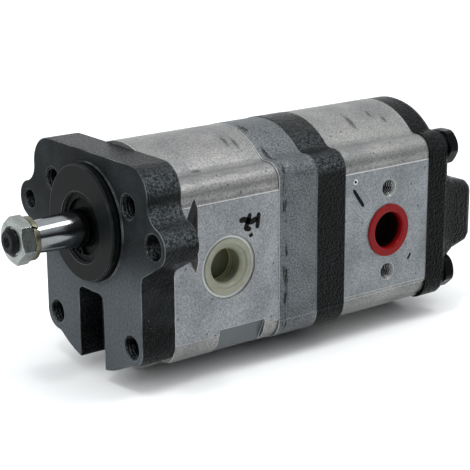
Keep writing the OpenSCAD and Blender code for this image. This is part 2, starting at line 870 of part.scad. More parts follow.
module coupling_housing() {
    color([0.48, 0.49, 0.5])
    difference() {
        twin_block(x2, coupling_l, crown_r, crown_r + 1.6, lobe_r + 0.2);
        rod(x2 - over, web1_t + 2 * over, shaft_hole_d);
        rod(x2 + web1_t, coupling_l, cavity_d, fn = fn_big);
        tie_holes(x2 - over, coupling_l + 2 * over);
        dowel_holes(x2 - over, dowel_depth + over);
        dowel_holes(x3 - dowel_depth, dowel_depth + over);
    }
}

// disc with crossed slots that joins the two shaft tongues
module coupling_disc() {
    slot_w = tongue_w + 0.02;
    color([0.5, 0.5, 0.52])
    difference() {
        turned([
            [0, coupling_x], [coupling_d / 2 - 0.6, coupling_x], [coupling_d / 2, coupling_x + 0.6],
            [coupling_d / 2, coupling_x + coupling_t - 0.6], [coupling_d / 2 - 0.6, coupling_x + coupling_t],
            [0, coupling_x + coupling_t]]);
        translate([coupling_x - 1, -coupling_d, -slot_w / 2])
            cube([tongue1_x + tongue_l + 0.2 - coupling_x + 1, 2 * coupling_d, slot_w]);
        translate([tongue2_x - tongue_l - 0.2, -slot_w / 2, -coupling_d])
            cube([20, slot_w, 2 * coupling_d]);
    }
}

module middle_cover() {
    color([0.1, 0.11, 0.12])
    difference() {
        twin_block(x3, middle_t, crown_r + 0.25, crown_r + 1.8, lobe_r + 0.35);
        rod(x3 - over, middle_t + 2 * over, shaft_hole_d);
        rod(x3 - over, middle_pocket_l + over, seal_bore_d, fn = fn_big);
        tie_holes(x3 - over, middle_t + 2 * over);
        dowel_holes(x3 - over, dowel_depth + over);
        dowel_holes(x4 - dowel_depth, dowel_depth + over);
    }
}

module middle_seal() {
    color([0.05, 0.05, 0.05])
    lip_seal(middle_seal_x, seal_bore_d, seal_shaft_d);
}

// rear pump stage

module rear_drive_gear() {
    r = seal_shaft_d / 2;
    color([0.6, 0.6, 0.62])
    union() {
        geared_shaft(gear2_x, gear2_w, journal2_x, shaft2_end_x, -90);
        turned([[0, tongue2_x], [r - 0.5, tongue2_x], [r, tongue2_x + 0.5], [r, journal2_x + 0.7], [0, journal2_x + 0.7]]);
        intersection() {
            rod(tongue2_x - tongue_l, tongue_l + 0.1, seal_shaft_d);
            translate([tongue2_x - tongue_l, -tongue_w / 2, -seal_shaft_d / 2])
                cube([tongue_l + 1, tongue_w, seal_shaft_d]);
        }
    }
}

module rear_driven_gear() {
    color([0.6, 0.6, 0.62])
    geared_shaft(gear2_x, gear2_w, x4 + 0.6, x5 - 0.6, 90 + 180 / teeth, -gear_cd);
}

// flanged port: plain bore, way into the chamber, two tapped holes
module flanged_port(s) {
    side_bore(port2_x, -port2_z, port2_d, port2_l, s);
    side_bore(port2_x, -port2_z, port_way_d, face_y - 6, s);
    side_mouth(port2_x, -port2_z, port2_d, port2_d + 1, s);
    for (k = [-1, 1]) {
        side_bore(port2_x, -port2_z + k * port_bolt_pitch / 2, port_bolt_d, port_bolt_depth, s, fn_small);
        side_mouth(port2_x, -port2_z + k * port_bolt_pitch / 2, port_bolt_d, port_bolt_mouth_d, s);
    }
}

module rear_body() {
    color([0.62, 0.63, 0.64])
    difference() {
        union() {
            twin_block(x4, body2_l, crown_r + 0.1, crown_r - 1, lobe_r - 0.2, body2_low, body2_low_r);
            slab(x4, body2_l)
                for (s = [-1, 1])
                    polygon([for (q = body2_strip) [s * q.x, q.y]]);
        }
        slab(x4 - over, body2_l + 2 * over)
            figure_eight(chamber_r);
        tie_holes(x4 - over, body2_l + 2 * over);
        seal_groove(x4 - 0.001);
        seal_groove(x5 - groove_depth + 0.001);
        dowel_holes(x4 - over, dowel_depth + over);
        dowel_holes(x5 - dowel_depth, dowel_depth + over);
        for (s = [-1, 1])
            flanged_port(s);
    }
}

module rear_bearing_blocks() {
    color([0.8, 0.8, 0.8])
    block_pair(x4, x5, gear2_x, gear2_w);
}

module rear_bushes() {
    color([0.72, 0.6, 0.4])
    bush_set(x4, x5, gear2_x, gear2_w);
}

module rear_block_seals() {
    color([0.1, 0.1, 0.1])
    block_seal_pair(x4, x5);
}

// rear cover

// rounded rectangle in Y and Z made of a polygon and corner circles
module rounded_pad(half_y, z_high, z_low, r) {
    polygon([[-half_y, z_high - r], [-half_y + r, z_high], [half_y - r, z_high], [half_y, z_high - r],
        [half_y, z_low + r], [half_y - r, z_low], [-half_y + r, z_low], [-half_y, z_low + r]]);
    for (y = [-half_y + r, half_y - r], z = [z_high - r, z_low + r])
        translate([y, z])
            circle(r = r, $fn = 32);
}

// cast boss in drafted steps: flared foot, body and rounded end
module rear_boss() {
    end = x6 + rear_boss_h;
    steps = [
        [x6 - 0.4, 36.4, 3.5, -42.5], [x6 + 9.5, 33.6, -1.8, -37.6], [end - 3, 32.4, -4.6, -35.6],
        [end - 0.9, 31.5, -6.1, -34.3], [end, 29.8, -8, -32.5]];
    for (i = [0:len(steps) - 2])
        hull()
            for (k = [i, i + 1])
                slab(steps[k][0] - 0.1, 0.1)
                    rounded_pad(steps[k][1], steps[k][2], steps[k][3], 4);
}

module rear_cover() {
    color([0.09, 0.1, 0.1])
    difference() {
        union() {
            twin_block_eased(x5, rear_t, crown_r, crown_r + 0.6, lobe_r + 0.4, 2.6);
            rear_boss();
        }
        // spot faces under the bolt heads
        for (p = bolts_at)
            rod(bolt_seat_x, 25, 18.4, p.x, p.y);
        tie_holes(x5 - over, rear_t + 2 * over);
        dowel_holes(x5 - over, dowel_depth + over);
    }
}

// seals, dowels and screws shared by the sections

module face_seals() {
    color([0.05, 0.05, 0.05])
    for (x = [x1, x2 - groove_depth, x4, x5 - groove_depth])
        slab(x + 0.01, groove_depth - 0.02)
            eight_ring(groove_in_r + 0.03, groove_w - 0.06);
}

module dowel_pins() {
    color([0.7, 0.7, 0.7])
    for (x = [x1, x2, x3, x4, x5], p = dowel_at)
        turned([[0, x - dowel_l / 2], [dowel_d / 2 - 0.4, x - dowel_l / 2], [dowel_d / 2, x - dowel_l / 2 + 0.5],
            [dowel_d / 2, x + dowel_l / 2 - 0.5], [dowel_d / 2 - 0.4, x + dowel_l / 2],
            [0, x + dowel_l / 2]], p.x, p.y, 24);
}

// hexagon head screw that reaches from the rear cover into the front cover
module tie_bolt(y, z, turn) {
    corner = bolt_head_af / cos(30) / 2;
    rim = bolt_head_af / 2;
    end = bolt_seat_x + bolt_head_h;
    turned([[0, bolt_end_x], [bolt_d / 2 - 1, bolt_end_x], [bolt_d / 2, bolt_end_x + 1],
        [bolt_d / 2, bolt_seat_x + 0.1], [0, bolt_seat_x + 0.1]], y, z, fn_small);
    intersection() {
        translate([bolt_seat_x, y, z])
            rotate([turn, 0, 0])
                rotate([0, 90, 0])
                    cylinder(h = bolt_head_h, r = corner, $fn = 6);
        turned([[0, bolt_seat_x], [rim - 0.2, bolt_seat_x], [rim - 0.1, bolt_seat_x + 0.4],
            [corner - bolt_head_round, bolt_seat_x + 0.6], [corner - bolt_head_round, end - 1],
            [rim - 0.6, end], [0, end]], y, z);
    }
}

module tie_bolts() {
    color([0.12, 0.12, 0.13])
    for (i = [0:3])
        tie_bolt(bolts_at[i].x, bolts_at[i].y, 30 + 17 * i);
}

// port closures

// hollow screw-in plastic plug: thread rings outside, the same rings showing as ribs inside
module threaded_port_plugs() {
    body_r = port1_d / 2 - 0.02;
    hollow_r = plug_hollow_d / 2;
    flange_r = plug_flange_d / 2;
    ring_r = plug_ring_d / 2;
    tip = -plug_body_l;
    floor_z = tip + plug_floor_t;
    color([0.75, 0.74, 0.55])
    for (s = [-1, 1])
        translate([port1_x, s * (face_y - spot_depth), -port1_z])
            rotate([-s * 90, 0, 0])
                rotate_extrude($fn = fn_mid)
                    polygon(concat(
                        [[0, tip], [body_r - 1.6, tip]],
                        [for (i = [0:plug_turns - 1]) each [
                            [body_r, tip + 1.2 + i * plug_pitch], [body_r - 1, tip + 2.1 + i * plug_pitch]]],
                        [[body_r, -0.4], [body_r, 0], [flange_r, 0], [flange_r, plug_flange_t - 0.4],
                            [flange_r - 0.4, plug_flange_t], [ring_r + 0.3, plug_flange_t],
                            [ring_r, plug_flange_t - 0.3], [ring_r - 0.2, plug_flange_t - plug_step],
                            [ring_r - plug_ledge, plug_flange_t - plug_step - 0.1],
                            [hollow_r, plug_flange_t - plug_slope]],
                        [for (i = [0:plug_turns - 2]) each [
                            [hollow_r, -plug_rib_start - i * plug_pitch],
                            [hollow_r - plug_rib, -plug_rib_start - 0.5 - i * plug_pitch],
                            [hollow_r - plug_rib, -plug_rib_start - 0.9 - i * plug_pitch],
                            [hollow_r, -plug_rib_start - 1.4 - i * plug_pitch]]],
                        [[hollow_r - 0.4, floor_z], [0, floor_z]]));
}

// push-in plastic cap with a rounded flange, a rolled lip and a tapering body
module port_caps() {
    body_r = port2_d / 2 - 0.03;
    hollow_r = cap_hollow_d / 2;
    flange_r = cap_flange_d / 2;
    top = cap_flange_t;
    floor_z = -cap_body_l + cap_floor_t;
    color([0.7, 0.07, 0.08])
    for (s = [-1, 1])
        translate([port2_x, s * face_y, -port2_z])
            rotate([-s * 90, 0, 0])
                rotate_extrude($fn = fn_mid)
                    polygon([
                        [0, -cap_body_l], [body_r - 1.4, -cap_body_l], [body_r - 0.9, -cap_body_l + 0.6],
                        [body_r, -1.2], [body_r, 0], [flange_r - 0.2, 0], [flange_r, 0.25],
                        [flange_r - 0.1, 0.6], [flange_r - 0.5, top], [hollow_r + cap_lip, top],
                        [hollow_r + 0.35 * cap_lip, top - 0.3 * cap_lip], [hollow_r, top - cap_lip],
                        [hollow_r - 0.5, floor_z], [0, floor_z]]);
}

front_cover();
pilot_o_ring();
shaft_seal();
seal_retaining_ring();
drive_shaft();
woodruff_key();
lock_washer();
shaft_nut();
front_body();
front_driven_gear();
front_bearing_blocks();
front_bushes();
front_block_seals();
coupling_housing();
coupling_disc();
middle_cover();
middle_seal();
rear_drive_gear();
rear_driven_gear();
rear_body();
rear_bearing_blocks();
rear_bushes();
rear_block_seals();
face_seals();
dowel_pins();
rear_cover();
tie_bolts();
threaded_port_plugs();
port_caps();
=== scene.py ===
"""Looks of a tandem gear pump: finishes, small details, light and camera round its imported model.

Lengths in the classes are millimetres, in the part's own frame: X runs along the shaft to the
rear, Z is up and the near ports face -Y. Meshes are made in metres.
"""

import json
import logging
import math
from dataclasses import dataclass, field
from enum import Enum

import bpy
import numpy as np
from mathutils import Matrix, Vector


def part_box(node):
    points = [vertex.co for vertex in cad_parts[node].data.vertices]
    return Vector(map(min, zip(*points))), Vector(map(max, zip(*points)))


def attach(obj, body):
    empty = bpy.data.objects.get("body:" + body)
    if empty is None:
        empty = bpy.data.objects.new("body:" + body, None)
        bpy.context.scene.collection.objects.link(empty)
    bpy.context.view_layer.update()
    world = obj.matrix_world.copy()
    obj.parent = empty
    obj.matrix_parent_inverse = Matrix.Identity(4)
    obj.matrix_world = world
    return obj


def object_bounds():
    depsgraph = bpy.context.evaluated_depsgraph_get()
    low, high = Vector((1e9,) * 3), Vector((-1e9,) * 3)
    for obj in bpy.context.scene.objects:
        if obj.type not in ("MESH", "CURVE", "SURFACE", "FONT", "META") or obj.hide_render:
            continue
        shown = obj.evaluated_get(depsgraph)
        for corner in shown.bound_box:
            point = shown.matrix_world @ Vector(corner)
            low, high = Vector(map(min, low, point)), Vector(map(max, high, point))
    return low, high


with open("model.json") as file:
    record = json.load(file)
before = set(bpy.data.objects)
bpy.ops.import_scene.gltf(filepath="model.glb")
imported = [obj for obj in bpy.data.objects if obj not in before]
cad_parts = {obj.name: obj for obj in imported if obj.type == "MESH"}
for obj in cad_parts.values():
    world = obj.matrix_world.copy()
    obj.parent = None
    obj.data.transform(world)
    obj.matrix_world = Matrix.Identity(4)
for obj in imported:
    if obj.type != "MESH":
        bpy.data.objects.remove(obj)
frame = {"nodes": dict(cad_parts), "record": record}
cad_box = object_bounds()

MM = 0.001
log = logging.getLogger("pump")

Tree = bpy.types.NodeTree
Socket = bpy.types.NodeSocket
Mesh = tuple[np.ndarray, list]

# numbers of a map range's sockets; it maps to 0 and 1 where nothing else is said
LOW, HIGH, TO_LOW, TO_HIGH = 1, 2, 3, 4
# numbers of a mix's sockets: its factor, then both inputs and the output for each type of data
BY = 0
FLOAT_A, FLOAT_B, FLOAT = 2, 3, 0
VECTOR_A, VECTOR_B, VECTOR = 4, 5, 1
RGB_A, RGB_B, RGB = 6, 7, 2


# sizes from the frame


def lowest(node: str) -> Vector:
    """Gives the lowest corner of a CAD node's box, in millimetres."""
    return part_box(node)[0] / MM


def highest(node: str) -> Vector:
    """Gives the highest corner of a CAD node's box, in millimetres."""
    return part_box(node)[1] / MM


def mount(name: str) -> dict:
    """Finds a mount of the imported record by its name."""
    return next(entry for entry in frame["record"]["mounts"] if entry["name"] == name)


# colour, nodes and meshes


def linear(code: str) -> tuple[float, float, float, float]:
    """Turns an sRGB hex colour into linear RGBA.

    Args:
        code: colour as "#rrggbb".

    Returns:
        Linear red, green and blue with alpha 1.
    """
    parts = [int(code[i:i + 2], 16) / 255 for i in (1, 3, 5)]
    values = [p / 12.92 if p <= 0.04045 else ((p + 0.055) / 1.055) ** 2.4 for p in parts]
    return (values[0], values[1], values[2], 1.0)


def per(period_mm: float) -> float:
    """Gives the texture scale, in cells per metre, of a pattern with this period in millimetres."""
    return 1.0 / (period_mm * MM)


def waves(period_mm: float) -> float:
    """Gives the scale of a wave texture with this period: one wave is pi / 10 cells long."""
    return per(period_mm) * math.pi / 10


def feed(tree: Tree, node: bpy.types.Node, inputs: dict) -> None:
    """Fills a node's sockets: a socket is linked and a constant is written on it.

    Args:
        tree: the node's tree.
        node: the node.
        inputs: socket name or number against a constant or the socket that feeds it.
    """
    for key, value in inputs.items():
        if isinstance(value, Socket):
            tree.links.new(value, node.inputs[key])
        else:
            node.inputs[key].default_value = value


def add(tree: Tree, kind: str, out: str | int, inputs: dict | None = None, **settings: object) -> Socket:
    """Adds one shader node with its settings and links.

    Args:
        tree: node tree of the material.
        kind: node type, without the ShaderNode that it starts with.
        out: name or number of the output that is wanted.
        inputs: socket name or number against a constant or the socket that feeds it.
        settings: properties of the node.

    Returns:
        The wanted output socket.
    """
    node = tree.nodes.new("ShaderNode" + kind)
    for name, value in settings.items():
        setattr(node, name, value)
    feed(tree, node, inputs or {})
    return node.outputs[out]


def sweep(path: np.ndarray, across: np.ndarray, up: np.ndarray, profile: np.ndarray) -> Mesh:
    """Carries a closed profile along an open path and closes both ends.

    Point (i, j) is path i plus profile j's first value along across i plus its second along up i.

    Args:
        path: n points, in metres.
        across: n unit vectors for the profile's first direction.
        up: n unit vectors for the profile's second direction.
        profile: m points of the closed outline, in metres, counter-clockwise seen against the path.

    Returns:
        Vertices and faces.
    """
    n, m = len(path), len(profile)
    grid = path[:, None] + profile[None, :, :1] * across[:, None] + profile[None, :, 1:] * up[:, None]
    i, j = np.meshgrid(np.arange(n - 1), np.arange(m), indexing="ij")
    k = (j + 1) % m
    quads = np.stack([i * m + j, i * m + k, (i + 1) * m + k, (i + 1) * m + j], -1).reshape(-1, 4)
    ends = [list(range(m))[::-1], list(range((n - 1) * m, n * m))]
    return grid.reshape(-1, 3), quads.tolist() + ends


def revolve(profile: np.ndarray, centre: Vector, axis: Vector, steps: int) -> Mesh:
    """Turns an open profile about an axis; both of its ends lie on the axis.

    Point (i, j) is the centre plus height i along the axis plus radius i in the direction of angle j.

    Args:
        profile: n rows of radius and height, in metres; the first and last radius are 0.
        centre: point on the axis, in metres.
        axis: unit direction of the axis.
        steps: points round the axis.

    Returns:
        Vertices and faces, with one vertex at each pole.
    """
    side = axis.orthogonal().normalized()
    other = axis.cross(side)
    turn = np.linspace(0, 2 * math.pi, steps, endpoint=False)
    ring = np.cos(turn)[:, None] * np.array(side) + np.sin(turn)[:, None] * np.array(other)
    inner = profile[1:-1]
    body = np.array(centre) + inner[:, 1, None, None] * np.array(axis) + inner[:, 0, None, None] * ring
    poles = np.array(centre) + profile[[0, -1], 1][:, None] * np.array(axis)
    points = np.concatenate([body.reshape(-1, 3), poles])
    n = len(inner)
    i, j = np.meshgrid(np.arange(n - 1), np.arange(steps), indexing="ij")
    k = (j + 1) % steps
    quads = np.stack([i * steps + j, (i + 1) * steps + j, (i + 1) * steps + k, i * steps + k], -1)
    first, last = n * steps, n * steps + 1
    around = np.arange(steps)
    after = (around + 1) % steps
    top = np.stack([np.full(steps, first), around, after], -1)
    bottom = np.stack([np.full(steps, last), (n - 1) * steps + after, (n - 1) * steps + around], -1)
    return points, quads.reshape(-1, 4).tolist() + top.tolist() + bottom.tolist()


def joined(parts: list[Mesh]) -> Mesh:
    """Puts several meshes into one.

    Args:
        parts: vertices and faces of each.

    Returns:
        Vertices and faces of all of them.
    """
    faces: list = []
    count = 0
    for points, own in parts:
        faces += [[v + count for v in face] for face in own]
        count += len(points)
    return np.concatenate([points for points, _ in parts]), faces


def piece(name: str, shape: Mesh, body: str, finish: "Finish",
          smooth: bool = True) -> bpy.types.Object:
    """Makes a mesh object with outward faces that rides on a body.

    Args:
        name: name of the piece.
        shape: vertices in metres, in the part's frame, and faces.
        body: CAD body that carries the piece.
        finish: finish that dresses the piece.
        smooth: whether its faces shade smoothly.

    Returns:
        The new object.
    """
    points, faces = shape
    mesh = bpy.data.meshes.new(name)
    mesh.from_pydata(points.tolist(), [], faces)
    mesh.validate()
    mesh.polygons.foreach_set("use_smooth", np.full(len(mesh.polygons), smooth))
    mesh.materials.append(finish.material())
    made = bpy.data.objects.new(name, mesh)
    bpy.context.scene.collection.objects.link(made)
    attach(made, body)
    log.info("piece %s: %d faces on %s", name, len(mesh.polygons), body)
    return made


def dress(finish: "Finish", *nodes: str) -> None:
    """Gives CAD nodes a finish.

    Args:
        finish: the finish.
        nodes: names of CAD nodes.
    """
    for name in nodes:
        mesh = frame["nodes"][name].data
        mesh.materials.clear()
        mesh.materials.append(finish.material())
        log.info("node %s: %s", name, finish.name)


# finishes


@dataclass(frozen=True)
class Finish:
    """A surface finish: one material, patterned by object coordinates."""

    name: str

    def material(self) -> bpy.types.Material:
        """Gives the material, which is built the first time that it is asked for.

        Returns:
            The material.
        """
        made = bpy.data.materials.get(self.name)
        if made is None:
            made = bpy.data.materials.new(self.name)
            made.use_nodes = True
            tree = made.node_tree
            place = add(tree, "TexCoord", "Object")
            self.shade(tree, place, tree.nodes["Principled BSDF"])
        return made

    def shade(self, tree: Tree, place: Socket, shader: bpy.types.Node) -> None:
        """Fills the tree; each kind of finish has its own.

        Args:
            tree: node tree of the material.
            place: object coordinates, in metres.
            shader: the principled shader.
        """
        raise NotImplementedError

    def edges(self, tree: Tree, radius_mm: float) -> tuple[Socket, Socket]:
        """Rounds the shading of edges.

        Args:
            tree: node tree of the material.
            radius_mm: radius of the softened edge.

        Returns:
            The softened normal, and a mask that is 1 on edges and 0 on flats.
        """
        soft = add(tree, "Bevel", "Normal", {"Radius": radius_mm * MM}, samples=6)
        hard = add(tree, "NewGeometry", "Normal")
        match = add(tree, "VectorMath", "Value", {0: soft, 1: hard}, operation="DOT_PRODUCT")
        mask = add(tree, "MapRange", "Result", {"Value": match, LOW: 0.995, HIGH: 0.86})
        return soft, mask


@dataclass(frozen=True)
class Layer:
    """One layer of a surface, as sockets."""

    colour: Socket
    roughness: Socket
    normal: Socket


@dataclass(frozen=True)
class Grain:
    """Patterns of a sand casting, as sockets: its pebbles, what is finer, and a slow tint."""

    pebble: Socket
    fine: Socket
    tint: Socket


class Cut(Enum):
    """How a casting has been machined."""

    NONE = "as cast all over"
    FACED = "faced at X = 0, with a turned pilot in front of it"


@dataclass(frozen=True)
class DippedIron(Finish):
    """Grey cast iron, sand cast and dipped black: a pebbled skin, dark from the side, with small painted
    glints.

    Machined ground is flat, duller and charcoal, with painted shade towards its top, and edges are rubbed to
    grey and also painted lighter as edge highlights. The pilot is turned and nearly black.
    """

    skin: str = "#050707"
    # colour of the painted glints on pebble peaks that slope upwards
    lit: str = "#63696c"
    # colour of rubbed edges and bare flecks, which also serve as painted edge highlights and glints
    worn_edge_and_highlight: str = "#8b9194"
    rubbed: str = "#565c5f"
    ground: str = "#42474a"
    pilot: str = "#060909"
    # colour of the painted shade on the faced ground, and the Z range over which it comes in
    painted_face_shade: str = "#0b0e0f"
    painted_face_shade_z: tuple[float, float] = (-28.0, 2.0)
    cut: Cut = Cut.NONE
    cast_x: tuple[float, float] = (0.05, 0.25)
    pilot_x: tuple[float, float] = (-0.1, -0.4)
    edge_mm: float = 0.7
    pebble_mm: float = 1.25
    pebble_depth_mm: float = 1.3
    fine_mm: float = 0.6
    fleck_mm: float = 0.9
    tint_mm: float = 16.0
    lathe_mm: float = 0.6
    lathe_depth_mm: float = 0.04
    shine: float = 0.07

    def shade(self, tree: Tree, place: Socket, shader: bpy.types.Node) -> None:
        """Builds the cast skin, the ground where the part is machined, and the wear and painted highlights on
        both.

        Args:
            tree: node tree of the material.
            place: object coordinates, in metres.
            shader: the principled shader.
        """
        soft, edge = self.edges(tree, self.edge_mm)
        grain = Grain(
            pebble=add(tree, "TexNoise", "Fac", {"Vector": place, "Scale": per(self.pebble_mm), "Detail": 2.0,
                                                 "Roughness": 0.55}),
            fine=add(tree, "TexNoise", "Fac", {"Vector": place, "Scale": per(self.fine_mm), "Detail": 2.0}),
            tint=add(tree, "TexNoise", "Fac", {"Vector": place, "Scale": per(self.tint_mm), "Detail": 4.0}))
        layer = self.cast_skin(tree, grain, soft)
        # small bare flecks on the cast skin, drawn bright so that they also serve as painted glints
        fleck_and_glint = add(tree, "TexNoise", "Fac", {"Vector": place, "Scale": per(self.fleck_mm), "Detail": 1.0})
        fleck_and_glint = add(tree, "MapRange", "Result", {"Value": fleck_and_glint, LOW: 0.74, HIGH: 0.82, TO_HIGH: 0.35})
        if self.cut is Cut.FACED:
            # 0 on the mounting face and in front of it, 1 on the cast skin behind it
            x, _, z = add(tree, "SeparateXYZ", "X", {0: place}).node.outputs
            cast = add(tree, "MapRange", "Result", {"Value": x, LOW: self.cast_x[0] * MM,
                                                    HIGH: self.cast_x[1] * MM})
            bare = self.machined_ground(tree, place, x, z, grain, soft)
            layer = Layer(
                add(tree, "Mix", RGB, {BY: cast, RGB_A: bare.colour, RGB_B: layer.colour}, data_type="RGBA"),
                add(tree, "Mix", FLOAT, {BY: cast, FLOAT_A: bare.roughness, FLOAT_B: layer.roughness},
                    data_type="FLOAT"),
                add(tree, "Mix", VECTOR, {BY: cast, VECTOR_A: bare.normal, VECTOR_B: layer.normal},
                    data_type="VECTOR"))
            fleck_and_glint = add(tree, "Math", "Value", {0: fleck_and_glint, 1: cast}, operation="MULTIPLY")
        # edges rubbed grey in patches and painted lighter as edge highlights, with the flecks on top
        wear = add(tree, "MapRange", "Result", {"Value": grain.tint, LOW: 0.42, HIGH: 0.62, TO_LOW: 0.1,
                                                TO_HIGH: 0.8})
        wear = add(tree, "Math", "Value", {0: edge, 1: wear}, operation="MULTIPLY")
        wear = add(tree, "Math", "Value", {0: wear, 1: fleck_and_glint}, operation="MAXIMUM")
        colour = add(tree, "Mix", RGB, {BY: wear, RGB_A: layer.colour, RGB_B: linear(self.worn_edge_and_highlight)},
                     data_type="RGBA")
        feed(tree, shader, {"Base Color": colour, "Roughness": layer.roughness, "Normal": layer.normal,
                            "Specular IOR Level": self.shine})

    def cast_skin(self, tree: Tree, grain: Grain, soft: Socket) -> Layer:
        """Builds the pebbled skin, with painted glints on the pebble peaks of slopes that face upwards.

        The slope's weight is 4 z (1 - z), where z is the normal's upward part.

        Args:
            tree: node tree of the material.
            grain: patterns of the casting.
            soft: normal with softened edges.

        Returns:
            The skin.
        """
        tinted = add(tree, "MapRange", "Result", {"Value": grain.tint, LOW: 0.4, HIGH: 0.75, TO_HIGH: 0.12})
        colour = add(tree, "Mix", RGB, {BY: tinted, RGB_A: linear(self.skin), RGB_B: linear(self.rubbed)},
                     data_type="RGBA")
        # painted glints: pebble peaks on slopes that face upwards are coloured lighter, as if they caught the
        # light from above
        facing = add(tree, "SeparateXYZ", "Z", {0: add(tree, "NewGeometry", "Normal")})
        slope = add(tree, "Math", "Value", {0: 1.0, 1: facing}, operation="SUBTRACT")
        slope = add(tree, "Math", "Value", {0: slope, 1: facing}, operation="MULTIPLY")
        slope = add(tree, "Math", "Value", {0: slope, 1: 4.0}, operation="MULTIPLY", use_clamp=True)
        painted_glints = add(tree, "Math", "Value", {0: grain.pebble, 1: grain.fine}, operation="ADD")
        painted_glints = add(tree, "MapRange", "Result", {"Value": painted_glints, LOW: 0.86, HIGH: 1.3, TO_HIGH: 0.72})
        painted_glints = add(tree, "Math", "Value", {0: painted_glints, 1: slope}, operation="MULTIPLY")
        colour = add(tree, "Mix", RGB, {BY: painted_glints, RGB_A: colour, RGB_B: linear(self.lit)}, data_type="RGBA")
        roughness = add(tree, "MapRange", "Result", {"Value": grain.fine, LOW: 0.3, HIGH: 0.8, TO_LOW: 0.14,
                                                     TO_HIGH: 0.42})
        normal = add(tree, "Bump", "Normal", {"Strength": 1.0, "Distance": self.pebble_depth_mm * MM,
                                              "Height": grain.pebble, "Normal": soft})
        return Layer(colour, roughness, normal)

    def machined_ground(self, tree: Tree, place: Socket, x: Socket, z: Socket, grain: Grain,
                        soft: Socket) -> Layer:
        """Builds the faced ground, with painted shade that darkens it towards the top, and the turned pilot.

        Args:
            tree: node tree of the material.
            place: object coordinates, in metres.
            x: its X.
            z: its Z.
            grain: patterns of the casting, which still show faintly.
            soft: normal with softened edges.

        Returns:
            The ground.
        """
        # painted shade: the face darkens towards the top
        oil = add(tree, "MapRange", "Result", {"Value": z, LOW: self.painted_face_shade_z[0] * MM, HIGH: self.painted_face_shade_z[1] * MM},
                  interpolation_type="SMOOTHSTEP")
        colour = add(tree, "Mix", RGB, {BY: oil, RGB_A: linear(self.ground), RGB_B: linear(self.painted_face_shade)},
                     data_type="RGBA")
        bloom = add(tree, "Math", "Value", {0: grain.fine, 1: grain.tint}, operation="ADD")
        bloom = add(tree, "MapRange", "Result", {"Value": bloom, LOW: 0.85, HIGH: 1.3, TO_HIGH: 0.18})
        colour = add(tree, "Mix", RGB, {BY: bloom, RGB_A: colour, RGB_B: linear(self.rubbed)},
                     data_type="RGBA")
        sanded = add(tree, "MapRange", "Result", {"Value": grain.pebble, LOW: 0.3, HIGH: 0.7, TO_LOW: 0.72,
                                                  TO_HIGH: 1.22})
        colour = add(tree, "Mix", RGB, {BY: 1.0, RGB_A: colour, RGB_B: sanded}, data_type="RGBA",
                     blend_type="MULTIPLY")
        turned = add(tree, "MapRange", "Result", {"Value": x, LOW: self.pilot_x[1] * MM,
                                                  HIGH: self.pilot_x[0] * MM, TO_LOW: 1.0, TO_HIGH: 0.0})
        colour = add(tree, "Mix", RGB, {BY: turned, RGB_A: colour, RGB_B: linear(self.pilot)},
                     data_type="RGBA")
        # lathe rings on the pilot
        rings = add(tree, "TexWave", "Fac", {"Vector": place, "Scale": waves(self.lathe_mm),
                                             "Distortion": 0.6, "Detail": 1.0},
                    wave_type="RINGS", rings_direction="X")
        relief = add(tree, "Mix", FLOAT, {BY: turned, FLOAT_A: grain.fine, FLOAT_B: rings}, data_type="FLOAT")
        normal = add(tree, "Bump", "Normal", {"Strength": 0.5, "Distance": self.lathe_depth_mm * MM,
                                              "Height": relief, "Normal": soft})
        roughness = add(tree, "MapRange", "Result", {"Value": turned, TO_LOW: 0.6, TO_HIGH: 0.48})
        return Layer(colour, roughness, normal)


@dataclass(frozen=True)
class Spot:
    """Where a surface is shaded, for the marks on it.

    The sockets are the place in millimetres, its three parts, its distance from the part's middle
    plane, and a slow cloud that makes rims ragged. The number is the Y of the port faces.
    """

    at: Socket
    x: Socket
    y: Socket
    z: Socket
    side: Socket
    cloud: Socket
    face_y: float


@dataclass(frozen=True)
class Mark:
    """Something that changes a surface's colour in one place."""

    def lay(self, tree: Tree, colour: Socket, spot: Spot) -> Socket:
        """Lays the mark on a colour; each kind of mark has its own.

        Args:
            tree: node tree of the material.
            colour: colour so far.
            spot: where the surface is shaded.

        Returns:
            The colour with the mark on it.
        """
        raise NotImplementedError


@dataclass(frozen=True)
class Smudge(Mark):
    """A soft dark handling mark: centre and half lengths along X and across, in millimetres."""

    x: float
    y: float
    z: float
    long_mm: float
    wide_mm: float
    tone: str = "#2e3134"

    def lay(self, tree: Tree, colour: Socket, spot: Spot) -> Socket:
        """Darkens the colour by the distance from the smudge's centre, which is 1 on its rim.

        Args:
            tree: node tree of the material.
            colour: colour so far.
            spot: where the surface is shaded.

        Returns:
            The colour with the smudge on it.
        """
        shift = (-self.x / self.long_mm, -self.y / self.wide_mm, -self.z / self.wide_mm)
        shrink = (1 / self.long_mm, 1 / self.wide_mm, 1 / self.wide_mm)
        off = add(tree, "Mapping", "Vector", {"Vector": spot.at, "Location": shift, "Scale": shrink})
        far = add(tree, "VectorMath", "Value", {0: off}, operation="LENGTH")
        far = add(tree, "Math", "Value", {0: far, 1: spot.cloud}, operation="ADD")
        dark = add(tree, "MapRange", "Result", {"Value": far, LOW: 0.75, HIGH: 1.5, TO_LOW: 0.75,
                                                TO_HIGH: 0.0})
        return add(tree, "Mix", RGB, {BY: dark, RGB_A: colour, RGB_B: linear(self.tone)}, data_type="RGBA")


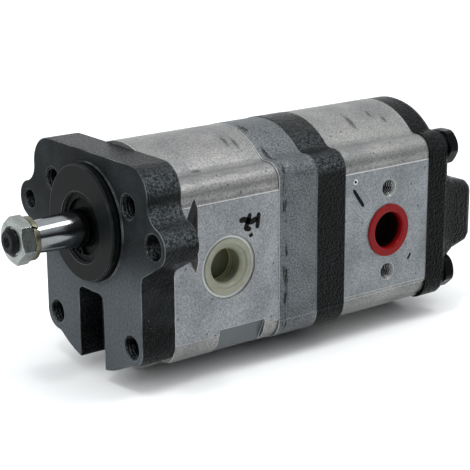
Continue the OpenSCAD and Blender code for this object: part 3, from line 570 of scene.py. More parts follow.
@dataclass(frozen=True)
class MilledPad(Mark):
    """The bare pad low on the near side: its X range, its top and its farthest Y, in millimetres."""

    x: tuple[float, float]
    top_z: float
    back_y: float
    slack: float = 0.1
    tone: str = "#5d6264"

    def lay(self, tree: Tree, colour: Socket, spot: Spot) -> Socket:
        """Colours what lies inside the X range, under the top and sunk behind the near port face.

        Args:
            tree: node tree of the material.
            colour: colour so far.
            spot: where the surface is shaded.

        Returns:
            The colour with the pad on it.
        """
        middle, half = sum(self.x) / 2, (self.x[1] - self.x[0]) / 2
        off = add(tree, "Math", "Value", {0: spot.x, 1: middle}, operation="SUBTRACT")
        off = add(tree, "Math", "Value", {0: off}, operation="ABSOLUTE")
        pad = add(tree, "Math", "Value", {0: off, 1: half + self.slack / 2}, operation="LESS_THAN")
        for part, limit, test in ((spot.z, self.top_z + self.slack, "LESS_THAN"),
                                  (spot.y, self.back_y, "LESS_THAN"),
                                  (spot.y, self.slack - spot.face_y, "GREATER_THAN")):
            inside = add(tree, "Math", "Value", {0: part, 1: limit}, operation=test)
            pad = add(tree, "Math", "Value", {0: pad, 1: inside}, operation="MULTIPLY")
        return add(tree, "Mix", RGB, {BY: pad, RGB_A: colour, RGB_B: linear(self.tone)}, data_type="RGBA")


@dataclass(frozen=True)
class Bore(Mark):
    """A hole in the port faces: axis at x and z along Y, radius at the face, in millimetres."""

    x: float
    z: float
    radius: float

    def from_axis(self, tree: Tree, spot: Spot) -> Socket:
        """Measures how far the surface is from the hole's axis.

        Args:
            tree: node tree of the material.
            spot: where the surface is shaded.

        Returns:
            The distance in millimetres.
        """
        off = add(tree, "Mapping", "Vector", {"Vector": spot.at, "Location": (-self.x, 0.0, -self.z),
                                              "Scale": (1.0, 0.0, 1.0)})
        return add(tree, "VectorMath", "Value", {0: off}, operation="LENGTH")


@dataclass(frozen=True)
class TappedBore(Bore):
    """A screw hole, with painted shade that darkens its wall further in."""

    countersink: float = 0.9
    # where the painted shade begins and where it is full, in millimetres below the face
    shade_from: float = 0.5
    shade_at: float = 2.2
    tone: str = "#0b0c0d"

    def lay(self, tree: Tree, colour: Socket, spot: Spot) -> Socket:
        """Paints shade on the hole's wall, darker further in, its countersink included.

        Args:
            tree: node tree of the material.
            colour: colour so far.
            spot: where the surface is shaded.

        Returns:
            The colour with the hole's dark wall.
        """
        far = self.from_axis(tree, spot)
        within = add(tree, "Math", "Value", {0: far, 1: self.radius + self.countersink},
                     operation="LESS_THAN")
        # painted shade: the wall darkens further into the hole
        deep = add(tree, "MapRange", "Result", {"Value": spot.side, LOW: spot.face_y - self.shade_at,
                                                HIGH: spot.face_y - self.shade_from, TO_LOW: 0.95,
                                                TO_HIGH: 0.0})
        dark = add(tree, "Math", "Value", {0: within, 1: deep}, operation="MULTIPLY")
        return add(tree, "Mix", RGB, {BY: dark, RGB_A: colour, RGB_B: linear(self.tone)}, data_type="RGBA")


@dataclass(frozen=True)
class SpotFace(Bore):
    """A bright shallow seat round a threaded port, with painted shadow in its corner."""

    seat_inset: float = 0.4
    seat_depth: float = 0.3
    corner: tuple[float, float] = (-0.2, 0.25)
    bright: str = "#aeb0af"
    corner_shadow: str = "#0f1011"

    def lay(self, tree: Tree, colour: Socket, spot: Spot) -> Socket:
        """Paints shadow on the ring at the seat's corner and brightens the seat inside it.

        Args:
            tree: node tree of the material.
            colour: colour so far.
            spot: where the surface is shaded.

        Returns:
            The colour with the seat and its corner.
        """
        far = self.from_axis(tree, spot)
        seat_r = self.radius - self.seat_inset
        # painted shadow: a dark ring in the seat's corner
        ring = add(tree, "MapRange", "Result", {"Value": far, LOW: seat_r, HIGH: self.radius + self.corner[0],
                                                TO_HIGH: 0.9})
        outer = add(tree, "Math", "Value", {0: far, 1: self.radius + self.corner[1]}, operation="LESS_THAN")
        ring = add(tree, "Math", "Value", {0: ring, 1: outer}, operation="MULTIPLY")
        colour = add(tree, "Mix", RGB, {BY: ring, RGB_A: colour, RGB_B: linear(self.corner_shadow)}, data_type="RGBA")
        within = add(tree, "Math", "Value", {0: far, 1: seat_r}, operation="LESS_THAN")
        deep = add(tree, "Math", "Value", {0: spot.side, 1: spot.face_y - self.seat_depth},
                   operation="LESS_THAN")
        seat = add(tree, "Math", "Value", {0: within, 1: deep}, operation="MULTIPLY")
        return add(tree, "Mix", RGB, {BY: seat, RGB_A: colour, RGB_B: linear(self.bright)}, data_type="RGBA")


@dataclass(frozen=True)
class BlastedAluminium(Finish):
    """Aluminium extrusion, bead blasted, with milled port faces.

    The skin is pale and dull with faint lines along X, and the milled ground is greyer with fine cutter arcs.
    Fingers and oil have left soft dark smudges on it. Its edges and the crease round each milled face carry
    painted highlights.
    """

    face_y: float
    skin: str = "#8a8987"
    dull: str = "#63676a"
    milled: str = "#888b8e"
    pit: str = "#1f2122"
    # colour of the painted highlights on edges and creases
    bright: str = "#d6d7d6"
    run_out_mm: tuple[float, float] = (0.12, 0.04)
    edge_mm: float = 0.5
    line_mm: float = 0.9
    grit_mm: float = 0.8
    cloud_mm: float = 18.0
    cutter_mm: float = 5.5
    pit_mm: float = 5.5
    relief_mm: float = 0.09
    marks: tuple[Mark, ...] = ()

    def shade(self, tree: Tree, place: Socket, shader: bpy.types.Node) -> None:
        """Builds the blasted skin and the milled faces, with the marks on them and painted highlights on the
        edges and along each milled face's crease.

        Args:
            tree: node tree of the material.
            place: object coordinates, in metres.
            shader: the principled shader.
        """
        soft, edge = self.edges(tree, self.edge_mm)
        spot = self.spot(tree, place)
        # 0 on the rounded skin, 1 on the milled port faces
        cut = add(tree, "MapRange", "Result", {"Value": spot.side, LOW: self.face_y - self.run_out_mm[0],
                                               HIGH: self.face_y - self.run_out_mm[1]})
        # the blasting grit is drawn about three times as coarse as it is, so that it shows
        blast = add(tree, "TexNoise", "Fac", {"Vector": place, "Scale": per(self.grit_mm), "Detail": 2.0})
        colour = self.ground_colour(tree, place, spot.cloud, cut, blast)
        for mark in self.marks:
            colour = mark.lay(tree, colour, spot)
        # painted highlight: a bright line along the crease where the milled face runs out, widest halfway:
        # cut times 1 - cut
        crease_highlight = add(tree, "Math", "Value", {0: 1.0, 1: cut}, operation="SUBTRACT")
        crease_highlight = add(tree, "Math", "Value", {0: crease_highlight, 1: cut}, operation="MULTIPLY")
        crease_highlight = add(tree, "Math", "Value", {0: crease_highlight, 1: 2.8}, operation="MULTIPLY")
        # painted highlight: every edge is lightened
        rim = add(tree, "Math", "Value", {0: edge, 1: 0.75}, operation="MULTIPLY")
        for line in (crease_highlight, rim):
            colour = add(tree, "Mix", RGB, {BY: line, RGB_A: colour, RGB_B: linear(self.bright)},
                         data_type="RGBA")
        roughness = add(tree, "MapRange", "Result", {"Value": spot.cloud, LOW: 0.3, HIGH: 0.7, TO_LOW: 0.38,
                                                     TO_HIGH: 0.52})
        feed(tree, shader, {"Base Color": colour, "Roughness": roughness, "Metallic": 0.85,
                            "Normal": self.relief(tree, place, cut, blast, soft)})

    def spot(self, tree: Tree, place: Socket) -> Spot:
        """Works out where the surface is shaded, in millimetres.

        Args:
            tree: node tree of the material.
            place: object coordinates, in metres.

        Returns:
            The place, its parts and the cloud.
        """
        at = add(tree, "VectorMath", "Vector", {0: place, "Scale": per(1.0)}, operation="SCALE")
        x, y, z = add(tree, "SeparateXYZ", "X", {0: at}).node.outputs
        side = add(tree, "Math", "Value", {0: y}, operation="ABSOLUTE")
        cloud = add(tree, "TexNoise", "Fac", {"Vector": place, "Scale": per(self.cloud_mm), "Detail": 5.0,
                                              "Roughness": 0.62})
        return Spot(at, x, y, z, side, cloud, self.face_y)

    def ground_colour(self, tree: Tree, place: Socket, cloud: Socket, cut: Socket, blast: Socket) -> Socket:
        """Mixes skin and milled ground, dulls both in clouds, and specks and pits them.

        Args:
            tree: node tree of the material.
            place: object coordinates, in metres.
            cloud: slow pattern.
            cut: 1 where the ground is milled.
            blast: pattern of the blasting grit.

        Returns:
            The colour of the metal.
        """
        fade = add(tree, "MapRange", "Result", {"Value": cloud, LOW: 0.35, HIGH: 0.68, TO_HIGH: 0.55})
        skin, milled = (add(tree, "Mix", RGB, {BY: fade, RGB_A: linear(tone), RGB_B: linear(self.dull)},
                            data_type="RGBA") for tone in (self.skin, self.milled))
        colour = add(tree, "Mix", RGB, {BY: cut, RGB_A: skin, RGB_B: milled}, data_type="RGBA")
        speck = add(tree, "MapRange", "Result", {"Value": blast, LOW: 0.3, HIGH: 0.7, TO_LOW: 0.66,
                                                 TO_HIGH: 1.24})
        colour = add(tree, "Mix", RGB, {BY: 1.0, RGB_A: colour, RGB_B: speck}, data_type="RGBA",
                     blend_type="MULTIPLY")
        pit = add(tree, "TexVoronoi", "Distance", {"Vector": place, "Scale": per(self.pit_mm)})
        pit = add(tree, "MapRange", "Result", {"Value": pit, LOW: 0.05, HIGH: 0.13, TO_LOW: 0.7,
                                               TO_HIGH: 0.0})
        return add(tree, "Mix", RGB, {BY: pit, RGB_A: colour, RGB_B: linear(self.pit)}, data_type="RGBA")

    def relief(self, tree: Tree, place: Socket, cut: Socket, blast: Socket, soft: Socket) -> Socket:
        """Raises the grit and the faint lines of the skin, and the cutter's arcs on milled ground.

        Args:
            tree: node tree of the material.
            place: object coordinates, in metres.
            cut: 1 where the ground is milled.
            blast: pattern of the blasting grit.
            soft: normal with softened edges.

        Returns:
            The normal.
        """
        along = add(tree, "Mapping", "Vector", {"Vector": place, "Scale": (0.04, 1.0, 1.0)})
        lines = add(tree, "TexNoise", "Fac", {"Vector": along, "Scale": per(self.line_mm), "Detail": 3.0})
        grainy = add(tree, "Math", "Value", {0: lines, 1: blast}, operation="ADD")
        arcs = add(tree, "TexWave", "Fac", {"Vector": place, "Scale": waves(self.cutter_mm),
                                            "Distortion": 1.2, "Detail": 2.0, "Detail Scale": 2.0},
                   wave_type="RINGS", rings_direction="Y")
        height = add(tree, "Mix", FLOAT, {BY: cut, FLOAT_A: grainy, FLOAT_B: arcs}, data_type="FLOAT")
        return add(tree, "Bump", "Normal", {"Strength": 0.8, "Distance": self.relief_mm * MM,
                                            "Height": height, "Normal": soft})


@dataclass(frozen=True)
class CastAluminium(Finish):
    """Gravity cast aluminium, tumbled: dull mid grey, dimpled, with dark pits near its front edge."""

    pit_x: float
    metal: str = "#6c7073"
    dark: str = "#414547"
    pit: str = "#15181a"
    bare_edge_and_highlight: str = "#c8cac9"
    pit_reach: tuple[float, float] = (0.3, 1.6)
    edge_mm: float = 0.5
    dimple_mm: float = 0.8
    dimple_depth_mm: float = 0.35
    cloud_mm: float = 13.0
    pore_mm: float = 1.3

    def shade(self, tree: Tree, place: Socket, shader: bpy.types.Node) -> None:
        """Builds the dimpled metal and its row of pits.

        Args:
            tree: node tree of the material.
            place: object coordinates, in metres.
            shader: the principled shader.
        """
        soft, edge = self.edges(tree, self.edge_mm)
        dimple = add(tree, "TexNoise", "Fac", {"Vector": place, "Scale": per(self.dimple_mm), "Detail": 3.0})
        cloud = add(tree, "TexNoise", "Fac", {"Vector": place, "Scale": per(self.cloud_mm), "Detail": 5.0})
        mottled = add(tree, "Math", "Value", {0: dimple, 1: 2.5, 2: cloud}, operation="MULTIPLY_ADD")
        fade = add(tree, "MapRange", "Result", {"Value": mottled, LOW: 1.4, HIGH: 2.1})
        colour = add(tree, "Mix", RGB, {BY: fade, RGB_A: linear(self.metal), RGB_B: linear(self.dark)},
                     data_type="RGBA")
        pits = self.pits(tree, place, cloud)
        # dark pits, then edges lightened as bare metal and as painted highlights
        for mask, tone in ((pits, self.pit), (edge, self.bare_edge_and_highlight)):
            colour = add(tree, "Mix", RGB, {BY: mask, RGB_A: colour, RGB_B: linear(tone)}, data_type="RGBA")
        height = add(tree, "Math", "Value", {0: dimple, 1: pits}, operation="SUBTRACT")
        normal = add(tree, "Bump", "Normal", {"Strength": 0.9, "Distance": self.dimple_depth_mm * MM,
                                              "Height": height, "Normal": soft})
        feed(tree, shader, {"Base Color": colour, "Roughness": 0.5, "Normal": normal, "Metallic": 0.7})

    def pits(self, tree: Tree, place: Socket, cloud: Socket) -> Socket:
        """Opens pores, drawn out upwards, in a row behind the front edge.

        Args:
            tree: node tree of the material.
            place: object coordinates, in metres.
            cloud: slow pattern, which leaves gaps in the row.

        Returns:
            A mask that is near 1 in the pores.
        """
        upright = add(tree, "Mapping", "Vector", {"Vector": place, "Scale": (1.0, 0.25, 0.25)})
        pore = add(tree, "TexNoise", "Fac", {"Vector": upright, "Scale": per(self.pore_mm), "Detail": 2.0})
        x = add(tree, "SeparateXYZ", "X", {0: place})
        away = add(tree, "Math", "Value", {0: x, 1: self.pit_x * MM}, operation="SUBTRACT")
        away = add(tree, "Math", "Value", {0: away}, operation="ABSOLUTE")
        band = add(tree, "MapRange", "Result", {"Value": away, LOW: self.pit_reach[0] * MM,
                                                HIGH: self.pit_reach[1] * MM, TO_LOW: 0.1, TO_HIGH: 0.0})
        open_at = add(tree, "Math", "Value", {0: pore, 1: band}, operation="ADD")
        pits = add(tree, "MapRange", "Result", {"Value": open_at, LOW: 0.56, HIGH: 0.63, TO_HIGH: 0.95})
        within = add(tree, "Math", "Value", {0: band, 1: 0.01}, operation="GREATER_THAN")
        gaps = add(tree, "MapRange", "Result", {"Value": cloud, LOW: 0.44, HIGH: 0.52})
        for mask in (within, gaps):
            pits = add(tree, "Math", "Value", {0: pits, 1: mask}, operation="MULTIPLY")
        return pits


class Lay(Enum):
    """Direction of the machining marks on a metal."""

    TURNED = "rings about the shaft direction"
    PLATED = "no marks, a thin plated layer"


@dataclass(frozen=True)
class BrightMetal(Finish):
    """Steel or bronze, ground, turned or plated: clear reflections, broken by fine marks and stains."""

    metal: str
    roughness: float
    hazed: float = 0.18
    stain: str = "#6f7375"
    bare_edge_and_highlight: str = "#e6e8e7"
    lay: Lay = Lay.TURNED
    edge_mm: float = 0.25
    haze_mm: float = 4.0
    pitch_mm: float = 0.5
    turned_depth_mm: float = 0.012
    ripple_mm: float = 1.4
    ripple_depth_mm: float = 0.02
    stained: float = 0.3
    # how far edges are rubbed bare, which also paints them lighter as edge highlights
    rubbed: float = 0.0

    def shade(self, tree: Tree, place: Socket, shader: bpy.types.Node) -> None:
        """Builds the metal with its marks.

        Args:
            tree: node tree of the material.
            place: object coordinates, in metres.
            shader: the principled shader.
        """
        soft, edge = self.edges(tree, self.edge_mm)
        haze = add(tree, "TexNoise", "Fac", {"Vector": place, "Scale": per(self.haze_mm), "Detail": 5.0,
                                             "Roughness": 0.6})
        fade = add(tree, "MapRange", "Result", {"Value": haze, LOW: 0.42, HIGH: 0.72, TO_HIGH: self.stained})
        # edges rubbed bare and painted lighter as edge highlights
        worn_and_highlight = add(tree, "Math", "Value", {0: edge, 1: self.rubbed}, operation="MULTIPLY")
        colour = add(tree, "Mix", RGB, {BY: fade, RGB_A: linear(self.metal), RGB_B: linear(self.stain)},
                     data_type="RGBA")
        colour = add(tree, "Mix", RGB, {BY: worn_and_highlight, RGB_A: colour, RGB_B: linear(self.bare_edge_and_highlight)},
                     data_type="RGBA")
        if self.lay is Lay.TURNED:
            rings = add(tree, "Mapping", "Vector", {"Vector": place, "Scale": (1.0, 0.06, 0.06)})
            marks = add(tree, "TexNoise", "Fac", {"Vector": rings, "Scale": per(self.pitch_mm),
                                                  "Detail": 2.0})
            depth_mm = self.turned_depth_mm
        else:
            marks = add(tree, "TexNoise", "Fac", {"Vector": place, "Scale": per(self.ripple_mm),
                                                  "Detail": 3.0})
            depth_mm = self.ripple_depth_mm
        normal = add(tree, "Bump", "Normal", {"Strength": 0.5, "Distance": depth_mm * MM, "Height": marks,
                                              "Normal": soft})
        roughness = add(tree, "MapRange", "Result", {"Value": haze, LOW: 0.3, HIGH: 0.75,
                                                     TO_LOW: self.roughness,
                                                     TO_HIGH: self.roughness + self.hazed})
        feed(tree, shader, {"Base Color": colour, "Roughness": roughness, "Normal": normal, "Metallic": 1.0})


@dataclass(frozen=True)
class GroundShaft(Finish):
    """Hardened shaft steel: a ground, mirror-bright taper, and a stud end left black from hardening."""

    bright_x: float
    metal: str = "#7f8284"
    haze: str = "#5c5f61"
    scale: str = "#08090b"
    scale_edge_highlight: str = "#202325"
    blend_mm: float = 0.1
    edge_mm: float = 0.25
    haze_mm: float = 3.5
    ring_mm: float = 0.45
    ring_depth_mm: float = 0.01

    def shade(self, tree: Tree, place: Socket, shader: bpy.types.Node) -> None:
        """Builds the ground metal with its rings and haze, and the black end.

        Args:
            tree: node tree of the material.
            place: object coordinates, in metres.
            shader: the principled shader.
        """
        soft, edge = self.edges(tree, self.edge_mm)
        x = add(tree, "SeparateXYZ", "X", {0: place})
        bright = add(tree, "MapRange", "Result", {"Value": x, LOW: (self.bright_x - self.blend_mm) * MM,
                                                  HIGH: (self.bright_x + self.blend_mm) * MM})
        haze = add(tree, "TexNoise", "Fac", {"Vector": place, "Scale": per(self.haze_mm), "Detail": 5.0,
                                             "Roughness": 0.6})
        fade = add(tree, "MapRange", "Result", {"Value": haze, LOW: 0.45, HIGH: 0.75, TO_HIGH: 0.35})
        ground = add(tree, "Mix", RGB, {BY: fade, RGB_A: linear(self.metal), RGB_B: linear(self.haze)},
                     data_type="RGBA")
        # the black end, its edges lightened as painted highlights
        black = add(tree, "Mix", RGB, {BY: edge, RGB_A: linear(self.scale), RGB_B: linear(self.scale_edge_highlight)},
                    data_type="RGBA")
        colour = add(tree, "Mix", RGB, {BY: bright, RGB_A: black, RGB_B: ground}, data_type="RGBA")
        rings = add(tree, "Mapping", "Vector", {"Vector": place, "Scale": (1.0, 0.05, 0.05)})
        marks = add(tree, "TexNoise", "Fac", {"Vector": rings, "Scale": per(self.ring_mm), "Detail": 2.0})
        normal = add(tree, "Bump", "Normal", {"Strength": 0.5, "Distance": self.ring_depth_mm * MM,
                                              "Height": marks, "Normal": soft})
        roughness = add(tree, "MapRange", "Result", {"Value": bright, TO_LOW: 0.45, TO_HIGH: 0.13})
        feed(tree, shader, {"Base Color": colour, "Roughness": roughness, "Normal": normal,
                            "Metallic": bright, "Specular IOR Level": 0.08})


@dataclass(frozen=True)
class Elastomer(Finish):
    """Moulded nitrile rubber: near black, softly shining, with a faint dusting."""

    tone: str = "#070808"
    dust: str = "#1c1e1d"
    dust_mm: float = 2.5
    dust_depth_mm: float = 0.02

    def shade(self, tree: Tree, place: Socket, shader: bpy.types.Node) -> None:
        """Builds the rubber.

        Args:
            tree: node tree of the material.
            place: object coordinates, in metres.
            shader: the principled shader.
        """
        dust = add(tree, "TexNoise", "Fac", {"Vector": place, "Scale": per(self.dust_mm), "Detail": 4.0})
        fade = add(tree, "MapRange", "Result", {"Value": dust, LOW: 0.5, HIGH: 0.8, TO_HIGH: 0.15})
        colour = add(tree, "Mix", RGB, {BY: fade, RGB_A: linear(self.tone), RGB_B: linear(self.dust)},
                     data_type="RGBA")
        roughness = add(tree, "MapRange", "Result", {"Value": dust, LOW: 0.3, HIGH: 0.7, TO_LOW: 0.24,
                                                     TO_HIGH: 0.45})
        normal = add(tree, "Bump", "Normal", {"Strength": 0.3, "Distance": self.dust_depth_mm * MM,
                                              "Height": dust})
        feed(tree, shader, {"Base Color": colour, "Roughness": roughness, "Normal": normal,
                            "Specular IOR Level": 0.02})


@dataclass(frozen=True)
class Polyethylene(Finish):
    """Injection moulded polyethylene: waxy, softly shining, with painted shade down its hollow.

    With a band width it has painted ribs down the hollow: highlights on the crests and shade in the roots.
    """

    tone: str
    deep: str
    face_y: float
    hollow_mm: float
    lip_mm: float = 0.6
    crest: str = "#b0a868"
    band_mm: float = 0.0
    flow_mm: float = 3.0
    flow_depth_mm: float = 0.03
    scatter: float = 0.15
    scatter_mm: float = 2.0
    clear: float = 0.0

    def shade(self, tree: Tree, place: Socket, shader: bpy.types.Node) -> None:
        """Builds the plastic, with painted shade further down under the port face.

        Args:
            tree: node tree of the material.
            place: object coordinates, in metres.
            shader: the principled shader.
        """
        y = add(tree, "SeparateXYZ", "Y", {0: place})
        side = add(tree, "Math", "Value", {0: y}, operation="ABSOLUTE")
        # painted shade: darker further down the hollow
        hollow_shade = add(tree, "MapRange", "Result", {"Value": side, LOW: (self.face_y - self.hollow_mm) * MM,
                                                 HIGH: (self.face_y - self.lip_mm) * MM,
                                                 TO_LOW: 1.0, TO_HIGH: 0.0},
                    interpolation_type="SMOOTHSTEP")
        colour = add(tree, "Mix", RGB, {BY: hollow_shade, RGB_A: linear(self.tone), RGB_B: linear(self.deep)},
                     data_type="RGBA")
        if self.band_mm > 0:
            # painted highlights: light rings on the ribs down the hollow, stronger further in
            crest_highlights = add(tree, "TexWave", "Fac", {"Vector": place, "Scale": waves(self.band_mm),
                                                 "Distortion": 0.5}, bands_direction="Y")
            crest_highlights = add(tree, "MapRange", "Result", {"Value": crest_highlights, LOW: 0.55, TO_HIGH: 0.75})
            crest_highlights = add(tree, "Math", "Value", {0: crest_highlights, 1: hollow_shade}, operation="MULTIPLY")
            colour = add(tree, "Mix", RGB, {BY: crest_highlights, RGB_A: colour, RGB_B: linear(self.crest)},
                         data_type="RGBA")
        flow = add(tree, "TexNoise", "Fac", {"Vector": place, "Scale": per(self.flow_mm), "Detail": 3.0})
        vary = add(tree, "MapRange", "Result", {"Value": flow, LOW: 0.3, HIGH: 0.7, TO_LOW: 0.9,
                                                TO_HIGH: 1.08})
        colour = add(tree, "Mix", RGB, {BY: 1.0, RGB_A: colour, RGB_B: vary}, data_type="RGBA",
                     blend_type="MULTIPLY")
        normal = add(tree, "Bump", "Normal", {"Strength": 0.3, "Distance": self.flow_depth_mm * MM,
                                              "Height": flow})
        feed(tree, shader, {"Base Color": colour, "Roughness": 0.32, "Normal": normal,
                            "Specular IOR Level": 0.12, "Subsurface Weight": self.scatter,
                            "Subsurface Scale": self.scatter_mm * MM, "Transmission Weight": self.clear})


@dataclass(frozen=True)
class MarkerInk(Finish):
    """Felt marker ink on bare metal: flat black that thins towards grey in streaks."""

    full: str = "#060607"
    thinned: str = "#17181a"
    streak_mm: float = 0.8

    def shade(self, tree: Tree, place: Socket, shader: bpy.types.Node) -> None:
        """Builds the ink.

        Args:
            tree: node tree of the material.
            place: object coordinates, in metres.
            shader: the principled shader.
        """
        streak = add(tree, "TexNoise", "Fac", {"Vector": place, "Scale": per(self.streak_mm), "Detail": 2.0})
        thin = add(tree, "MapRange", "Result", {"Value": streak, LOW: 0.5, HIGH: 0.75, TO_HIGH: 0.5})
        colour = add(tree, "Mix", RGB, {BY: thin, RGB_A: linear(self.full), RGB_B: linear(self.thinned)},
                     data_type="RGBA")
        feed(tree, shader, {"Base Color": colour, "Roughness": 0.6, "Specular IOR Level": 0.1})


# iron: the front cover has grey painted glints and bare ground, the middle one is plainer, the rear one
# darkest
IRON_FACED = DippedIron("dipped_iron_faced", cut=Cut.FACED)
IRON_CAST = DippedIron("dipped_iron_cast", rubbed="#1f2325", worn_edge_and_highlight="#4a5052")
IRON_END = DippedIron("dipped_iron_end", skin="#030404", lit="#2c3032", rubbed="#121415", worn_edge_and_highlight="#3a3f41",
                      shine=0.045)
# steel: ground bright as a mirror, ground with a faint haze on the gears, and dark spring steel made nearly
# black as painted shade in the seal recess
GROUND_STEEL = BrightMetal("ground_steel", metal="#b4b6b8", roughness=0.1, stained=0.25)
GEAR_STEEL = BrightMetal("ground_gear_steel", metal="#a6a8aa", roughness=0.24)
SHADED_SPRING_STEEL = BrightMetal("spring_steel_painted_shade", metal="#0a0b0b", stain="#050606", roughness=0.5,
                           lay=Lay.PLATED)
BLACK_SCREW = BrightMetal("blackened_screw_steel", metal="#0d0e10", stain="#0a0b0c", roughness=0.34,
                          lay=Lay.PLATED)
# zinc: cool grey with bright rubbed edges on the nut, also painted lighter as edge highlights, and a dull
# olive yellow on the washer
ZINC = BrightMetal("zinc_plate", metal="#8d9390", stain="#4f5653", roughness=0.2, lay=Lay.PLATED,
                   stained=0.45, rubbed=0.9)
YELLOW_ZINC = BrightMetal("yellow_zinc_plate", metal="#6c6a5b", stain="#2a281f", roughness=0.24,
                          lay=Lay.PLATED, stained=0.6)
# aluminium: satin where it is turned, and sharply bright on the crests of a tapped thread
TURNED_ALUMINIUM = BrightMetal("turned_aluminium", metal="#c9cbcc", roughness=0.3, pitch_mm=0.3)
TAPPED_ALUMINIUM = BrightMetal("tapped_aluminium", metal="#a3a6a8", roughness=0.05, stained=0.5,
                               lay=Lay.PLATED)
# bronze: warm and matt from its pores
BRONZE = BrightMetal("sintered_bronze", metal="#b08d57", stain="#6b5330", roughness=0.38, pitch_mm=0.4)
NITRILE = Elastomer("nitrile_rubber")
# marker ink, which also paints the shadow in the punch mark's pit
INK_AND_PIT_SHADOW = MarkerInk("marker_ink_and_pit_shadow")


# sub-assemblies


class SubAssembly:
    """A group of the pump's parts, which adds its small pieces and dresses its CAD nodes."""

    def build(self) -> None:
        """Makes the group's own pieces; a group that is all CAD nodes has none."""

    def dress(self) -> None:
        """Gives the group's nodes their finishes."""
        raise NotImplementedError


@dataclass
class Thread:
    """A right-hand thread ridge inside a tapped hole.

    The ridge's section is carried along a helix: at turn t the point stands at the hole's radius
    and at angle t, and has moved by the pitch along the hole for each full turn.
    """

    hole_r: float
    crest_r: float
    pitch: float
    length: float
    steps: int = 28
    foot: float = 0.42
    crest: float = 0.3

    def mesh(self, mouth: Vector, inward: Vector) -> Mesh:
        """Builds the ridge.

        Args:
            mouth: centre of the hole where the ridge starts, in metres.
            inward: unit direction into the hole.

        Returns:
            Vertices and faces.
        """
        turns = self.length / self.pitch
        angle = np.linspace(0, 2 * math.pi * turns, int(self.steps * turns) + 1)
        side = inward.orthogonal().normalized()
        other = inward.cross(side)
        out = np.cos(angle)[:, None] * np.array(side) + np.sin(angle)[:, None] * np.array(other)
        deep = np.tile(np.array(inward), (len(angle), 1))
        path = np.array(mouth) + (angle / (2 * math.pi) * self.pitch * MM)[:, None] * np.array(inward)
        foot = self.pitch * self.foot
        top = self.crest * foot
        outline = [[self.hole_r, foot], [self.hole_r, -foot], [self.crest_r, -top], [self.crest_r, top]]
        return sweep(path, out, deep, np.array(outline) * MM)


@dataclass
class PenStroke:
    """A marker stroke on a port face: a thin flat ribbon with blunt round ends."""

    points: tuple[tuple[float, float], ...]
    width: float
    thickness: float = 0.04
    stand_off: float = 0.9
    samples: int = 40
    smoothing: int = 6
    bluntness: int = 8
    tip: float = 0.02

    def mesh(self, face_y: float) -> Mesh:
        """Carries the ribbon's flat section along the smoothed stroke.

        The stroke is a chain of straight pieces, averaged with its neighbours until it bends smoothly.
        Its width falls towards both ends as the square root of one minus the eighth power of the
        distance from its middle, which is one at the ends. The ribbon stands a little less than half
        its thickness off the face, so that it is held in it.

        Args:
            face_y: Y of the face that carries the ink, in millimetres.

        Returns:
            Vertices and faces.
        """
        given = np.array(self.points, float)
        length = np.concatenate([[0], np.cumsum(np.linalg.norm(np.diff(given, axis=0), axis=1))])
        along = np.linspace(0, length[-1], self.samples)
        flat = np.stack([np.interp(along, length, given[:, k]) for k in (0, 1)], -1)
        for _ in range(self.smoothing):
            flat[1:-1] = (flat[:-2] + 2 * flat[1:-1] + flat[2:]) / 4
        way = np.gradient(flat, axis=0)
        way /= np.linalg.norm(way, axis=1)[:, None]
        middle = np.abs(np.linspace(-1, 1, self.samples))
        taper = np.sqrt(np.clip(1 - middle ** self.bluntness, self.tip, 1))[:, None]
        w, t = self.width / 2, self.thickness / 2
        lie = face_y + math.copysign(self.stand_off * t, face_y)
        path = np.stack([flat[:, 0], np.full(self.samples, lie), flat[:, 1]], -1)
        across = np.stack([-way[:, 1], np.zeros(self.samples), way[:, 0]], -1) * taper
        up = np.tile([0.0, 1.0, 0.0], (self.samples, 1))
        outline = np.array([[-w, -t], [-w, t], [w, t], [w, -t]]) * MM
        return sweep(path * MM, across, up, outline)


@dataclass
class PunchMark:
    """A centre punch mark on the near port face: a bright raised ring round a dark disc of ink, painted as
    the pit's shadow.

    Each outline goes from its middle outwards and back underneath, by radius and height.
    """

    x: float = 116.5
    z: float = 8.3
    ring: tuple[tuple[float, float], ...] = ((0.0, 0.02), (0.75, 0.03), (0.95, 0.2), (1.15, 0.22),
                                             (1.5, 0.0), (1.3, -0.05), (0.0, -0.05))
    pit: tuple[tuple[float, float], ...] = ((0.0, 0.03), (0.62, 0.06), (0.7, 0.0), (0.0, -0.04))
    ring_steps: int = 32
    pit_steps: int = 24

    def build(self, face_y: float) -> None:
        """Makes the ring and the pit.

        Args:
            face_y: Y of the face that is marked, in millimetres.
        """
        centre = Vector((self.x, face_y, self.z)) * MM
        way = Vector((0, math.copysign(1, face_y), 0))
        ring = revolve(np.array(self.ring) * MM, centre, way, self.ring_steps)
        piece("punch_mark", ring, "housing", TURNED_ALUMINIUM)
        # painted shadow: the pit is a dark disc of ink
        pit = revolve(np.array(self.pit) * MM, centre, way, self.pit_steps)
        piece("punch_pit_shadow", pit, "housing", INK_AND_PIT_SHADOW)


